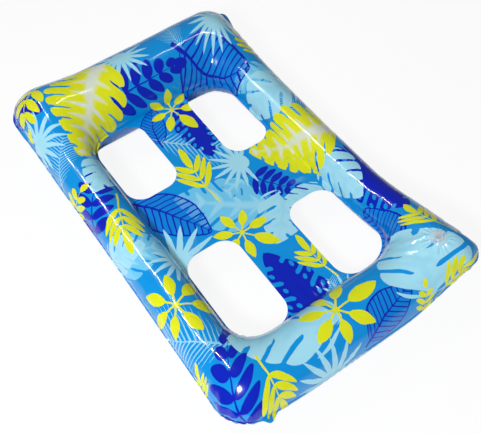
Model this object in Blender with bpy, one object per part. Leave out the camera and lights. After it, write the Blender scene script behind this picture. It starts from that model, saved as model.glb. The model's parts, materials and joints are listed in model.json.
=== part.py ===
# A rectangular ring float of printed plastic film. A fat air tube runs round
# a flat cross-shaped panel, which leaves four leg openings, and a push-in air
# valve sits on one corner of the tube.
#
# Metres, +Z up. The origin is on the floor under the middle of the float.
# +X points to the valve end and +Y to the valve side.

import math

import bmesh
import bpy
from mathutils import Matrix, Vector

# The weld line around the outside of the tube, and how inflating moves it
LENGTH = 0.900
WIDTH = 0.569
SIDE_WAIST = 0.0098  # how far the panel draws in the middle of a long side
WAIST_BIAS = 0.0017  # how much further than that on the valve side

# The corners, from the valve corner (+X +Y) on towards -X
CORNER_SIGNS = ((1, 1), (-1, 1), (-1, -1), (1, -1))
CORNER_RADII = (0.022, 0.055, 0.063, 0.069)
CORNER_LIFTS = (0.059, 0.014, 0.035, 0.017)  # how far each curls off the floor
CORNER_TAPERS = (0.0115, -0.0044, 0.0, 0.0)  # how much narrower the side tube gets there
CURL_START = 0.35  # share of the half length and half width where the curl begins

# The air tube: a wide head end, a slimmer valve end and slim sides
HEAD_TUBE_RADIUS = 0.087
VALVE_TUBE_RADIUS = 0.064
SIDE_TUBE_RADIUS = 0.051
INNER_CORNER_RADIUS = 0.061
CORNER_PINCH = 0.36  # share of its height that the tube loses at a corner's weld
CORNER_SWELL = 0.07  # and that it gains in the middle of the corner
FLOOR_PRESS = 0.0006  # how far the weight flattens the end tubes on the floor

# Film and welds
FILM = 0.0003
GAP = 0.0003  # between pieces that are welded or pressed together
OUTER_LIP = 0.005
INNER_LIP = 0.004
WELD_THICKNESS = 2 * FILM

# The panel: one bar along the float and one across it
BAR_WIDTH = 0.123
BAR_SHIFT = 0.007  # towards the valve side
CROSSBAR_WIDTH = 0.173
CROSSBAR_SHIFT = 0.0196  # towards the valve end
CROSSBAR_SKEW = 0.0077  # further on the valve side, and less on the other
PANEL_FILLET = 0.040
BAR_END_FILLET = 0.040
FILLET_TIP = 8.0  # degrees left off where a fillet would run out to nothing

# How the curved pieces are divided
CORNER_STEPS = 10
SIDE_STEPS = 6
END_STEPS = 4
FILM_ROWS = (0, 28, 54, 76, 86, 94, 104, 126, 152, 180)  # degrees over the tube
FILLET_STEPS = 6
ARM_END_STEPS = 5
TURNED_STEPS = 24

# Where the valve sits: degrees round the corner and up the tube
VALVE_TURN = 35.1
VALVE_LEAN = 84.0

# The valve, measured along and away from its own axis
FLANGE_RADIUS = 0.0162
FLANGE_THICKNESS = 0.0008
COLLAR_RADIUS = 0.0092
COLLAR_TOP = 0.0020
COLLAR_ROUNDING = 0.0007
SLEEVE_WALL = 0.0012
SLEEVE_DEPTH = 0.0050
NECK_RADIUS = 0.0060
NECK_WALL = 0.0013
NECK_TRAVEL = 0.0110
RIM_RADIUS = 0.0088
RIM_THICKNESS = 0.0010
MOUTH_ROUNDING = 0.0003
STOP_BEAD = 0.0012  # how far the bead at the neck's foot stands out, and its height
BEAD_ROUNDING = 0.0003
CAP_RADIUS = 0.0088
CAP_THICKNESS = 0.0011
CAP_ROUNDING = 0.00035
CAP_CROWN = 0.0007
CROWN_STEPS = 3
PLUG_CLEARANCE = 0.0004
PLUG_LENGTH = 0.0046
PLUG_WALL = 0.0014
PLUG_TAPER = 0.0006
TAPER_LENGTH = 0.0015
PLUG_HOLLOW = 0.0038
HINGE_REACH = 0.0132  # from the valve's axis to the strap's fold
STRAP_WIDTH = 0.0050
STRAP_THICKNESS = 0.0009
STRAP_ROUNDING = 0.0002
FLAP_OVERLAP = 0.0006
FLAP_THICKNESS = 0.0004
FLAP_TAB_WIDTH = 0.0036
CUT_PAST = 0.0050  # how far a cutter reaches past what it cuts
PATCH_REACH = 0.0900  # how far from the valve's axis film is copied for the flange


# Shape of the ring

def smooth_step(value):
    part = min(max(value, 0.0), 1.0)
    return part * part * (3 - 2 * part)


def weld_height(x):
    """Height of the weld plane, which slopes from the head tube to the valve tube."""
    head_axis = -LENGTH / 2 + HEAD_TUBE_RADIUS
    valve_axis = LENGTH / 2 - VALVE_TUBE_RADIUS
    part = (x - head_axis) / (valve_axis - head_axis)
    radius = HEAD_TUBE_RADIUS + part * (VALVE_TUBE_RADIUS - HEAD_TUBE_RADIUS)
    return radius + GAP / 2 - FLOOR_PRESS


def corner_curl(x, y):
    """How far the curled corners lift the weld line off its plane."""
    height = CORNER_LIFTS[CORNER_SIGNS.index((1 if x > 0 else -1, 1 if y > 0 else -1))]
    along = smooth_step((abs(x) / (LENGTH / 2) - CURL_START) / (1 - CURL_START))
    across = smooth_step((abs(y) / (WIDTH / 2) - CURL_START) / (1 - CURL_START))
    return height * along * across


def place(flat, height):
    """Moves a point of the flat layout to where it lies on the inflated float."""
    x, y = flat
    across = y / (WIDTH / 2)
    waist = (SIDE_WAIST + WAIST_BIAS * across) * across * (1 - (x / (LENGTH / 2)) ** 2)
    z = weld_height(x) + corner_curl(x, y) + height
    return Vector((x, y - waist, max(z, 0.0)))


def end_tube_radius(x):
    return VALVE_TUBE_RADIUS if x > 0 else HEAD_TUBE_RADIUS


def fan_centre(corner):
    """Centre of the inner corner's arc, which the corner's sections fan out from."""
    sign_x, sign_y = CORNER_SIGNS[corner]
    x = LENGTH / 2 - 2 * end_tube_radius(sign_x) - INNER_CORNER_RADIUS
    y = WIDTH / 2 - 2 * SIDE_TUBE_RADIUS + CORNER_TAPERS[corner] - INNER_CORNER_RADIUS
    return Vector((sign_x * x, sign_y * y))


def outer_point(centre, direction, radius):
    """Where a line from centre meets the outer weld line, which turns with that radius."""
    sign = Vector((math.copysign(1, centre.x), math.copysign(1, centre.y)))
    start = centre * sign
    way = direction * sign
    reaches = [
        (half - begin) / step
        for half, begin, step in ((LENGTH / 2, start.x, way.x), (WIDTH / 2, start.y, way.y))
        if step > 1e-6
    ]
    point = start + way * min(reaches)
    arc = Vector((LENGTH / 2 - radius, WIDTH / 2 - radius))
    if point.x > arc.x and point.y > arc.y:
        offset = start - arc
        along = offset.dot(way)
        reach = -along + math.sqrt(along**2 - offset.length_squared + radius**2)
        point = start + way * reach
    return point * sign


def fan_section(corner, part):
    """Outer and inner weld point where a corner has turned by part of a right angle."""
    angle = math.radians(90 * (corner + part))
    direction = Vector((math.cos(angle), math.sin(angle)))
    centre = fan_centre(corner)
    inner = centre + INNER_CORNER_RADIUS * direction
    return outer_point(centre, direction, CORNER_RADII[corner]), inner


def ring_section(station):
    """Outer and inner weld point at a station, and how much of a corner it is.

    Stations 0 to 8 go once round the ring: even spans are corners, starting
    with the valve corner, and odd spans are the straight runs between them.
    """
    span, part = divmod(station % 8, 1)
    corner = int(span) // 2
    if span % 2 == 0:
        outer, inner = fan_section(corner, part)
        return outer, inner, math.sin(math.pi * part) ** 2
    before = fan_section(corner, 1)
    after = fan_section((corner + 1) % 4, 0)
    return before[0].lerp(after[0], part), before[1].lerp(after[1], part), 0.0


def tube_point(station, angle, side):
    """Point on the tube, angle degrees from the outer weld over (1) or under (-1) it."""
    outer, inner, cornerness = ring_section(station)
    middle = (outer + inner) / 2
    half = (outer - inner) / 2
    way = half.normalized()
    radius = math.hypot(way.x * end_tube_radius(middle.x), way.y * SIDE_TUBE_RADIUS)
    along = math.cos(math.radians(angle))
    pinch = 1 - CORNER_PINCH * cornerness * max(along, 0) ** 2
    swell = 1 + CORNER_SWELL * cornerness
    rise = radius * math.sin(math.radians(angle)) * pinch * swell
    return place(middle + half * along, side * (rise + GAP / 2))


def ring_stations():
    """Stations where the ring is divided, closer together round the corners."""
    stations = []
    for corner in range(4):
        straight_steps = END_STEPS if corner % 2 else SIDE_STEPS
        stations += [2 * corner + step / CORNER_STEPS for step in range(CORNER_STEPS)]
        stations += [2 * corner + 1 + step / straight_steps for step in range(straight_steps)]
    return stations


# Tools for making objects

def material(name, colour, roughness, transmission=0.0):
    made = bpy.data.materials.new(name)
    made.use_nodes = True
    shader = made.node_tree.nodes["Principled BSDF"]
    shader.inputs["Base Color"].default_value = (*colour, 1.0)
    shader.inputs["Roughness"].default_value = roughness
    shader.inputs["Metallic"].default_value = 0.0
    shader.inputs["Transmission Weight"].default_value = transmission
    return made


def add_object(name, bm, surface=None, parent=None, location=(0, 0, 0)):
    mesh = bpy.data.meshes.new(name)
    bm.to_mesh(mesh)
    bm.free()
    if surface:
        mesh.materials.append(surface)
    made = bpy.data.objects.new(name, mesh)
    made.parent = parent
    made.location = location
    bpy.context.collection.objects.link(made)
    mesh.shade_smooth()
    mesh.set_sharp_from_angle(angle=math.radians(40))
    return made


def use_as_tool(tool):
    tool.hide_render = True
    tool.display_type = "WIRE"


def combine(target, tool, operation):
    use_as_tool(tool)
    modifier = target.modifiers.new(operation.title(), "BOOLEAN")
    modifier.operation = operation
    modifier.object = tool


def loop_strip(rings):
    """A closed ring solid from corner points given station by station."""
    bm = bmesh.new()
    loops = [[bm.verts.new(point) for point in ring] for ring in rings]
    for here, following in zip(loops, loops[1:] + loops[:1]):
        for index in range(len(here)):
            after = (index + 1) % len(here)
            bm.faces.new((here[index], here[after], following[after], following[index]))
    bmesh.ops.recalc_face_normals(bm, faces=bm.faces)
    return bm


def turned(profile):
    """A solid turned about Z from (radius, height) points. It may touch the axis."""
    bm = bmesh.new()
    points = [bm.verts.new((radius, 0, height)) for radius, height in profile]
    edges = [bm.edges.new(pair) for pair in zip(points, points[1:])]
    if profile[0][0] > 0:
        edges.append(bm.edges.new((points[-1], points[0])))
    bmesh.ops.spin(
        bm,
        geom=points + edges,
        axis=(0, 0, 1),
        cent=(0, 0, 0),
        angle=2 * math.pi,
        steps=TURNED_STEPS,
    )
    bmesh.ops.remove_doubles(bm, verts=bm.verts, dist=1e-6)
    bmesh.ops.recalc_face_normals(bm, faces=bm.faces)
    return bm


def rod(radius, low, high):
    return turned([(0, high), (radius, high), (radius, low), (0, low)])


def box(low, high):
    bm = bmesh.new()
    bmesh.ops.create_cube(bm, size=1.0)
    size = Vector(high) - Vector(low)
    middle = (Vector(high) + Vector(low)) / 2
    bmesh.ops.scale(bm, verts=bm.verts, vec=size)
    bmesh.ops.translate(bm, verts=bm.verts, vec=middle)
    return bm


# The tube's two films

def film_surface(side):
    """The tube's upper (1) or lower (-1) half as one open sheet, facing out."""
    bm = bmesh.new()
    columns = [
        [bm.verts.new(tube_point(station, angle, side)) for angle in FILM_ROWS]
        for station in ring_stations()
    ]
    for here, following in zip(columns, columns[1:] + columns[:1]):
        for row in range(len(FILM_ROWS) - 1):
            corners = [here[row], following[row], following[row + 1], here[row + 1]]
            bm.faces.new(corners[::side])
    return bm


def make_film(name, side, surface):
    film = add_object(name, film_surface(side), surface)
    wall = film.modifiers.new("Film thickness", "SOLIDIFY")
    wall.thickness = FILM
    wall.offset = -1.0
    wall.use_even_offset = True
    return film


# The fused weld bands along the tube

def weld_band(start, end):
    """A flat band beside the weld line, from start to end away from the tube."""
    rings = []
    for station in ring_stations():
        outer, inner, _ = ring_section(station)
        way = (outer - inner).normalized()
        edge, away = (outer, way) if end > 0 else (inner, -way)
        near = edge + away * abs(start)
        far = edge + away * abs(end)
        rings.append(
            [
                place(near, -WELD_THICKNESS / 2),
                place(far, -WELD_THICKNESS / 2),
                place(far, WELD_THICKNESS / 2),
                place(near, WELD_THICKNESS / 2),
            ]
        )
    return loop_strip(rings)


# The cross-shaped panel

def fillet(centre, radius, sign, start, end):
    """Arc from start to end degrees, mirrored to the side of the panel that sign gives."""
    points = []
    for step in range(FILLET_STEPS + 1):
        angle = math.radians(start + (end - start) * step / FILLET_STEPS)
        points.append(centre + radius * sign * Vector((math.cos(angle), -math.sin(angle))))
    return points


def side_weld(x, sign_y):
    """How far across the inner weld runs at x, beside the crossbar's end."""
    valve, head = (fan_centre(corner) for corner in ((0, 1) if sign_y > 0 else (3, 2)))
    along = head.lerp(valve, (x - head.x) / (valve.x - head.x))
    return along.y + sign_y * INNER_CORNER_RADIUS


def panel_quarter(sign_x, sign_y):
    """Panel edge round one leg opening, from the bar's end to the crossbar's end."""
    margin = INNER_LIP + 2 * GAP
    end_x = sign_x * (LENGTH / 2 - 2 * end_tube_radius(sign_x) - margin)
    bar_y = BAR_SHIFT + sign_y * BAR_WIDTH / 2
    cross_x = CROSSBAR_SHIFT + sign_y * CROSSBAR_SKEW + sign_x * CROSSBAR_WIDTH / 2
    end_y = side_weld(cross_x + sign_x * PANEL_FILLET, sign_y) - sign_y * margin
    sign = Vector((sign_x, sign_y))
    at_bar_end = Vector((end_x, bar_y)) + sign * BAR_END_FILLET * Vector((-1, 1))
    at_crossing = Vector((cross_x, bar_y)) + sign * PANEL_FILLET
    at_cross_end = Vector((cross_x, end_y)) + sign * PANEL_FILLET * Vector((1, -1))
    points = [
        *fillet(at_bar_end, BAR_END_FILLET, sign, FILLET_TIP, 90),
        *fillet(at_crossing, PANEL_FILLET, sign, 90, 180),
        *fillet(at_cross_end, PANEL_FILLET, sign, 180, 270 - FILLET_TIP),
    ]
    first = Vector((end_x, points[0].y))
    last = Vector((points[-1].x, end_y))
    return [first, *points, last]


def panel_outline():
    """The panel's whole edge. The crossbar's ends are divided, to follow the waist."""
    outline = []
    for index, (sign_x, sign_y) in enumerate(CORNER_SIGNS):
        quarter = panel_quarter(sign_x, sign_y)
        if index % 2:
            quarter.reverse()
            for step in range(1, ARM_END_STEPS):
                outline.append(outline[-step].lerp(quarter[0], step / ARM_END_STEPS))
        outline += quarter
    return outline


def panel_sheet(low, high):
    bm = bmesh.new()
    outline = panel_outline()
    under = [bm.verts.new(place(point, low)) for point in outline]
    over = [bm.verts.new(place(point, high)) for point in outline]
    bm.faces.new(over)
    bm.faces.new(under[::-1])
    for index in range(len(outline)):
        after = (index + 1) % len(outline)
        bm.faces.new((under[index], under[after], over[after], over[index]))
    return bm


# The air valve

def valve_frame():
    """Place of the valve: its Z stands square on the film, its X runs round the ring."""
    part = VALVE_TURN / 90 * CORNER_STEPS
    first = int(part)
    stations = (first / CORNER_STEPS, (first + 1) / CORNER_STEPS)
    row = max(index for index, angle in enumerate(FILM_ROWS) if angle <= VALVE_LEAN)
    angles = (FILM_ROWS[row], FILM_ROWS[row + 1])
    corner = [[tube_point(station, angle, 1) for angle in angles] for station in stations]
    across = (VALVE_LEAN - angles[0]) / (angles[1] - angles[0])
    origin = corner[0][0].lerp(corner[0][1], across).lerp(
        corner[1][0].lerp(corner[1][1], across), part - first
    )
    up = (corner[1][1] - corner[0][0]).cross(corner[0][1] - corner[1][0]).normalized()
    round_ring = corner[1][0].lerp(corner[1][1], 0.5) - corner[0][0].lerp(corner[0][1], 0.5)
    side = up.cross(round_ring).normalized()
    turn = Matrix((side.cross(up), side, up)).transposed()
    return Matrix.LocRotScale(origin, turn, None)


def flange_plate(frame):
    """Film patch under the valve, lifted off the film, in the valve's own frame."""
    bm = film_surface(1)
    middle = frame.translation
    far = [vert for vert in bm.verts if (vert.co - middle).length > PATCH_REACH]
    bmesh.ops.delete(bm, geom=far, context="VERTS")
    bm.normal_update()
    lifted = [vert.co + vert.normal * vert.calc_shell_factor() * GAP for vert in bm.verts]
    for vert, point in zip(bm.verts, lifted):
        vert.co = point
    bm.transform(frame.inverted())
    return bm


def make_valve(clear):
    frame = valve_frame()
    axis = bpy.data.objects.new("valve_axis", None)
    axis.matrix_world = frame
    bpy.context.collection.objects.link(axis)

    sleeve_bore = NECK_RADIUS + GAP
    sleeve_radius = sleeve_bore + SLEEVE_WALL
    flange = add_object("valve_flange", flange_plate(frame), clear, axis)
    plate = flange.modifiers.new("Plate thickness", "SOLIDIFY")
    plate.thickness = FLANGE_THICKNESS
    plate.offset = 1.0
    plate.use_even_offset = True
    disc_rod = rod(FLANGE_RADIUS, -CUT_PAST, CUT_PAST)
    combine(flange, add_object("flange_disc_tool", disc_rod, None, axis), "INTERSECT")
    collar_bm = turned(
        [
            (0, COLLAR_TOP),
            (COLLAR_RADIUS - COLLAR_ROUNDING, COLLAR_TOP),
            (COLLAR_RADIUS, COLLAR_TOP - COLLAR_ROUNDING),
            (COLLAR_RADIUS, GAP + FLANGE_THICKNESS / 2),
            (sleeve_radius, GAP + FLANGE_THICKNESS / 2),
            (sleeve_radius, -SLEEVE_DEPTH),
            (0, -SLEEVE_DEPTH),
        ]
    )
    combine(flange, add_object("flange_collar_tool", collar_bm, None, axis), "UNION")
    bore_rod = rod(sleeve_bore, -SLEEVE_DEPTH - CUT_PAST, COLLAR_TOP + CUT_PAST)
    combine(flange, add_object("flange_bore_tool", bore_rod, None, axis), "DIFFERENCE")

    hole_rod = rod(sleeve_radius + GAP, -CUT_PAST, CUT_PAST)
    film_hole = add_object("film_hole_tool", hole_rod, None, axis)

    rim_low = COLLAR_TOP + GAP
    rim_top = rim_low + RIM_THICKNESS
    neck_bore = NECK_RADIUS - NECK_WALL
    bead_top = -SLEEVE_DEPTH - GAP - NECK_TRAVEL
    foot = bead_top - STOP_BEAD
    neck_bm = turned(
        [
            (neck_bore + MOUTH_ROUNDING, rim_top),
            (RIM_RADIUS - MOUTH_ROUNDING, rim_top),
            (RIM_RADIUS, rim_top - MOUTH_ROUNDING),
            (RIM_RADIUS, rim_low),
            (NECK_RADIUS, rim_low),
            (NECK_RADIUS, bead_top),
            (NECK_RADIUS + STOP_BEAD, bead_top - BEAD_ROUNDING),
            (NECK_RADIUS + STOP_BEAD, foot + BEAD_ROUNDING),
            (NECK_RADIUS, foot),
            (neck_bore, foot),
            (neck_bore, rim_top - MOUTH_ROUNDING),
        ]
    )
    neck = add_object("valve_neck", neck_bm, clear, axis)
    lug_bm = box(
        (RIM_RADIUS - RIM_THICKNESS, -STRAP_WIDTH / 2, rim_low),
        (HINGE_REACH, STRAP_WIDTH / 2, rim_top),
    )
    combine(neck, add_object("neck_lug_tool", lug_bm, None, axis), "UNION")

    cap_low = rim_top + GAP
    fold = Vector((HINGE_REACH, 0, cap_low - GAP / 2))
    cap_top = cap_low + CAP_THICKNESS
    plug_radius = neck_bore - PLUG_CLEARANCE
    plug_foot = cap_low - PLUG_LENGTH
    hollow_radius = plug_radius - PLUG_TAPER - PLUG_WALL
    shares = [step / CROWN_STEPS for step in range(CROWN_STEPS + 1)]
    cap_bm = turned(
        [
            *[
                (share * (CAP_RADIUS - CAP_ROUNDING), cap_top + CAP_CROWN * (1 - share**2))
                for share in shares
            ],
            (CAP_RADIUS, cap_top - CAP_ROUNDING),
            (CAP_RADIUS, cap_low + CAP_ROUNDING),
            (CAP_RADIUS - CAP_ROUNDING, cap_low),
            (plug_radius, cap_low),
            (plug_radius, plug_foot + TAPER_LENGTH),
            (plug_radius - PLUG_TAPER, plug_foot),
            (hollow_radius, plug_foot),
            (hollow_radius, plug_foot + PLUG_HOLLOW),
            (0, plug_foot + PLUG_HOLLOW),
        ]
    )
    bmesh.ops.translate(cap_bm, verts=cap_bm.verts, vec=-fold)
    add_object("valve_cap", cap_bm, clear, axis, fold)

    strap_bm = box(
        (CAP_RADIUS + GAP, -STRAP_WIDTH / 2, cap_low),
        (HINGE_REACH, STRAP_WIDTH / 2, cap_low + STRAP_THICKNESS),
    )
    bmesh.ops.translate(strap_bm, verts=strap_bm.verts, vec=-fold)
    strap = add_object("cap_strap", strap_bm, clear, axis, fold)
    rounding = strap.modifiers.new("Soft edges", "BEVEL")
    rounding.width = STRAP_ROUNDING
    rounding.segments = 1

    flap_radius = neck_bore + FLAP_OVERLAP
    flap_hinge = Vector((NECK_RADIUS, 0, foot - GAP - FLAP_THICKNESS / 2))
    flap_low = foot - GAP - FLAP_THICKNESS
    flap_bm = rod(flap_radius, flap_low, foot - GAP)
    bmesh.ops.translate(flap_bm, verts=flap_bm.verts, vec=-flap_hinge)
    flap = add_object("check_flap", flap_bm, clear, axis, flap_hinge)
    tab_bm = box(
        (neck_bore, -FLAP_TAB_WIDTH / 2, flap_low),
        (NECK_RADIUS + FLAP_THICKNESS / 2, FLAP_TAB_WIDTH / 2, foot - GAP),
    )
    combine(flap, add_object("flap_tab_tool", tab_bm, None, axis), "UNION")
    return film_hole


def clear_scene():
    for item in list(bpy.data.objects):
        bpy.data.objects.remove(item, do_unlink=True)


def main():
    clear_scene()
    top_print = material("printed_film_top", (0.02, 0.42, 0.80), 0.22)
    base_print = material("printed_film_base", (0.02, 0.36, 0.74), 0.24)
    weld = material("fused_weld", (0.02, 0.34, 0.70), 0.30)
    clear = material("clear_valve_plastic", (0.85, 0.92, 0.95), 0.15, 0.8)

    top_film = make_film("tube_top_film", 1, top_print)
    make_film("tube_bottom_film", -1, base_print)
    add_object("outer_weld_seam", weld_band(GAP, OUTER_LIP), weld)
    add_object("inner_weld_seam", weld_band(-GAP, -INNER_LIP - GAP), weld)
    add_object("panel_top_sheet", panel_sheet(GAP / 2, GAP / 2 + FILM), top_print)
    add_object("panel_bottom_sheet", panel_sheet(-GAP / 2 - FILM, -GAP / 2), base_print)
    film_hole = make_valve(clear)
    combine(top_film, film_hole, "DIFFERENCE")


main()
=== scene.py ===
# %% [markdown]
# # An inflatable pool float in printed film
#
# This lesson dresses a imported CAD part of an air-filled float: a ring-shaped tube of
# glossy vinyl film, a flat cross-shaped panel that leaves four leg openings, and a
# clear push-in air valve. The CAD part says where every piece is and how the valve
# moves. Here each piece gets its full shape, its print and its shine.

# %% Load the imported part
import json
import math

import bmesh
import bpy
import numpy as np
from mathutils import Matrix, Vector, noise
from mathutils.bvhtree import BVHTree


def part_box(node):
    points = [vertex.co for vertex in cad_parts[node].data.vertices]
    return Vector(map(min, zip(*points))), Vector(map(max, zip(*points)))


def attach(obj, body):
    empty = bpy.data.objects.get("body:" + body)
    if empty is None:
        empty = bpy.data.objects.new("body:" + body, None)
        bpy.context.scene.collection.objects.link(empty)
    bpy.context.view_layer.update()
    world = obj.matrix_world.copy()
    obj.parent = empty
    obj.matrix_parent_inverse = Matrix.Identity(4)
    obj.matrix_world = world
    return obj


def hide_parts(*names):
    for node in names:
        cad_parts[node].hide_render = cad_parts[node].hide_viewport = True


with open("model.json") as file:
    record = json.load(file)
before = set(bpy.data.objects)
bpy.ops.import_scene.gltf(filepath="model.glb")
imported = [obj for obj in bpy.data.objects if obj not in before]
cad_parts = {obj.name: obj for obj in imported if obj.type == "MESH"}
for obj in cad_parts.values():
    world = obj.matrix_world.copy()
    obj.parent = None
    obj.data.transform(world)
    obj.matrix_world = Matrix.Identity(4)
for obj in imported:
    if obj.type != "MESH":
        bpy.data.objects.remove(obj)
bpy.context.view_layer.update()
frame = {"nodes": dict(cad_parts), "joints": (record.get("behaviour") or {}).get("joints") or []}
print("nodes:", len(frame["nodes"]))

# %% [markdown]
# ## Camera
#
# The photograph looks down on the float at about 53 degrees with a slight roll.
# The angles come from fitting the float's outline to the picture. A camera is set by
# its three axes, which is plainer than chaining turns: it looks along minus its own Z.

# %% Camera
IMAGE_WIDTH = 481
IMAGE_HEIGHT = 434
SENSOR_MM = 36.0
VIEW_TURN = math.radians(60.234)
VIEW_HEIGHT = math.radians(52.558)
VIEW_ROLL = math.radians(5.732)
VIEW_DISTANCE = 1.6803
VIEW_TARGET = Vector((0, 0, 0.0776))
FOCAL_PIXELS = 803.5
VIEW_CENTRE = (224.02, 188.73)  # pixels, where the camera's axis meets the picture


def add_object(name, data):
    """Makes an object and links it into the scene."""
    made = bpy.data.objects.new(name, data)
    bpy.context.scene.collection.objects.link(made)
    return made


def make_camera():
    camera = add_object("camera", bpy.data.cameras.new("camera"))
    turn_x, turn_y = math.cos(VIEW_TURN), math.sin(VIEW_TURN)
    level = math.cos(VIEW_HEIGHT)
    back = Vector((turn_y * level, -turn_x * level, math.sin(VIEW_HEIGHT)))
    level_right = Vector((turn_x, turn_y, 0))
    level_up = back.cross(level_right)
    right = level_right * math.cos(VIEW_ROLL) - level_up * math.sin(VIEW_ROLL)
    up = back.cross(right)
    axes = Matrix((right, up, back)).transposed()
    camera.matrix_world = Matrix.LocRotScale(VIEW_TARGET + back * VIEW_DISTANCE, axes, None)
    camera.data.sensor_width = SENSOR_MM
    camera.data.lens = FOCAL_PIXELS * SENSOR_MM / IMAGE_WIDTH
    camera.data.shift_x = (IMAGE_WIDTH / 2 - VIEW_CENTRE[0]) / IMAGE_WIDTH
    camera.data.shift_y = (VIEW_CENTRE[1] - IMAGE_HEIGHT / 2) / IMAGE_WIDTH
    return camera


camera = make_camera()
bpy.context.scene.camera = camera
print("camera at", [round(value, 3) for value in camera.location])

# %% [markdown]
# ## Sums in a node tree
#
# A pattern is a lot of arithmetic on each point of a surface. Placing every Math node
# by hand is slow to write and hard to read, so a small class wraps a socket: plus,
# minus or a comparison on it adds the Math node that does the same. Math nodes are the
# same in a shader and in Geometry Nodes, so one class serves both.

# %% Values and trees
class Value:
    """A number that varies over a surface or a mesh."""

    def __init__(self, tree, socket):
        self.tree = tree
        self.socket = socket

    def math(self, operation, *others):
        return self.tree.math(operation, self, *others)

    def __add__(self, other):
        return self.math("ADD", other)

    def __sub__(self, other):
        return self.math("SUBTRACT", other)

    def __rsub__(self, other):
        return self.tree.math("SUBTRACT", other, self)

    def __mul__(self, other):
        return self.math("MULTIPLY", other)

    def __truediv__(self, other):
        return self.math("DIVIDE", other)

    def __rtruediv__(self, other):
        return self.tree.math("DIVIDE", other, self)

    def __pow__(self, other):
        return self.math("POWER", other)

    def __lt__(self, other):
        return self.math("LESS_THAN", other)

    def __gt__(self, other):
        return self.math("GREATER_THAN", other)

    def __abs__(self):
        return self.math("ABSOLUTE")

    __radd__ = __add__
    __rmul__ = __mul__


class Tree:
    """A node tree, and short ways to add nodes to it."""

    def __init__(self, nodes):
        self.nodes = nodes

    def node(self, kind, sockets=None, **settings):
        made = self.nodes.nodes.new(kind)
        for name, value in settings.items():
            setattr(made, name, value)
        self.fill(made, sockets or {})
        return made

    def fill(self, node, sockets):
        """Feeds sockets of a node, each with a number, a colour or another node's output."""
        for name, value in sockets.items():
            if isinstance(value, Value):
                value = value.socket
            if isinstance(value, bpy.types.NodeSocket):
                self.nodes.links.new(value, node.inputs[name])
            else:
                node.inputs[name].default_value = value

    def math(self, operation, *values):
        made = self.node("ShaderNodeMath", dict(enumerate(values)), operation=operation)
        return Value(self, made.outputs[0])

    def split(self, vector):
        made = self.node("ShaderNodeSeparateXYZ", {0: vector})
        return [Value(self, socket) for socket in made.outputs]

    def join(self, x, y, z):
        return self.node("ShaderNodeCombineXYZ", {0: x, 1: y, 2: z}).outputs[0]

    def mix(self, factor, below, above):
        """Colour above over colour below, as far as factor says."""
        made = self.node("ShaderNodeMix", {"Factor": factor}, data_type="RGBA")
        colours = [index for index, socket in enumerate(made.inputs) if socket.type == "RGBA"]
        self.fill(made, dict(zip(colours, (below, above))))
        return next(socket for socket in made.outputs if socket.type == "RGBA")

    def noise(self, place, scale, detail):
        made = self.node("ShaderNodeTexNoise", {"Vector": place, "Scale": scale, "Detail": detail})
        return Value(self, made.outputs["Fac"])

    def bump(self, height, distance, strength):
        sockets = {"Height": height, "Distance": distance, "Strength": strength}
        return self.node("ShaderNodeBump", sockets).outputs["Normal"]


print("operators ready")

# %% [markdown]
# ## Floor and light
#
# The object was photographed on white, under large soft lamps: the film shows long
# bright streaks along the crowns of the tubes. A pale floor takes the soft shadow.
# Narrow area lamps make the streaks: three in a broken row for the long tubes, since
# their streaks have gaps, and one for the far end. A wide one overhead fills the rest.

# %% Floor and lamps
WHITE = (1.0, 1.0, 1.0, 1)
FLOOR_SIZE = 12.0
FLOOR_COLOUR = (0.93, 0.93, 0.93, 1)
FLOOR_ROUGHNESS = 0.8
FLOOR_GLOW = 0.9  # how far the camera sees the floor as lit from within, without shadow
SKY_STRENGTH = 0.15
STRIP_WAY = (-0.51, -0.15, 0.85)
LAMPS = {
    # name: what it is aimed at, way to it, distance, width and length, watts, beam in degrees
    "far_strip": ((-0.38, -0.24, 0.12), STRIP_WAY, 2.2, (0.42, 0.020), 1.7, 90),
    "middle_strip": ((0.15, -0.24, 0.12), STRIP_WAY, 2.2, (0.34, 0.020), 1.3, 90),
    "near_strip": ((0.52, -0.24, 0.12), STRIP_WAY, 2.2, (0.24, 0.020), 0.8, 90),
    "end_strip": ((-0.40, 0.30, 0.17), (-0.15, 0.32, 0.94), 2.2, (0.04, 0.6), 0.07, 26),
    "soft_box": ((0.0, 0.0, 0.08), (0.45, -0.55, 0.70), 3.0, (0.45, 0.45), 72.0, 180),
}


def new_surface(name):
    """A material, the tree of its nodes and its main shader."""
    surface = bpy.data.materials.new(name)
    surface.use_nodes = True
    return surface, Tree(surface.node_tree), surface.node_tree.nodes["Principled BSDF"]


def make_floor():
    mesh = bpy.data.meshes.new("floor")
    half = FLOOR_SIZE / 2
    corners = [(-half, -half, 0), (half, -half, 0), (half, half, 0), (-half, half, 0)]
    mesh.from_pydata(corners, [], [(0, 1, 2, 3)])
    paint, tree, shader = new_surface("floor_paint")
    looks = {"Base Color": FLOOR_COLOUR, "Roughness": FLOOR_ROUGHNESS, "Specular IOR Level": 0.0}
    tree.fill(shader, looks)
    glow = tree.node("ShaderNodeEmission", {"Color": WHITE, "Strength": 1.0})
    seen = Value(tree, tree.node("ShaderNodeLightPath").outputs["Is Camera Ray"])
    shares = {0: seen * FLOOR_GLOW, 1: shader.outputs[0], 2: glow.outputs[0]}
    lit = tree.node("ShaderNodeMixShader", shares)
    tree.fill(paint.node_tree.nodes["Material Output"], {"Surface": lit.outputs[0]})
    mesh.materials.append(paint)
    floor = add_object("floor", mesh)


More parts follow.
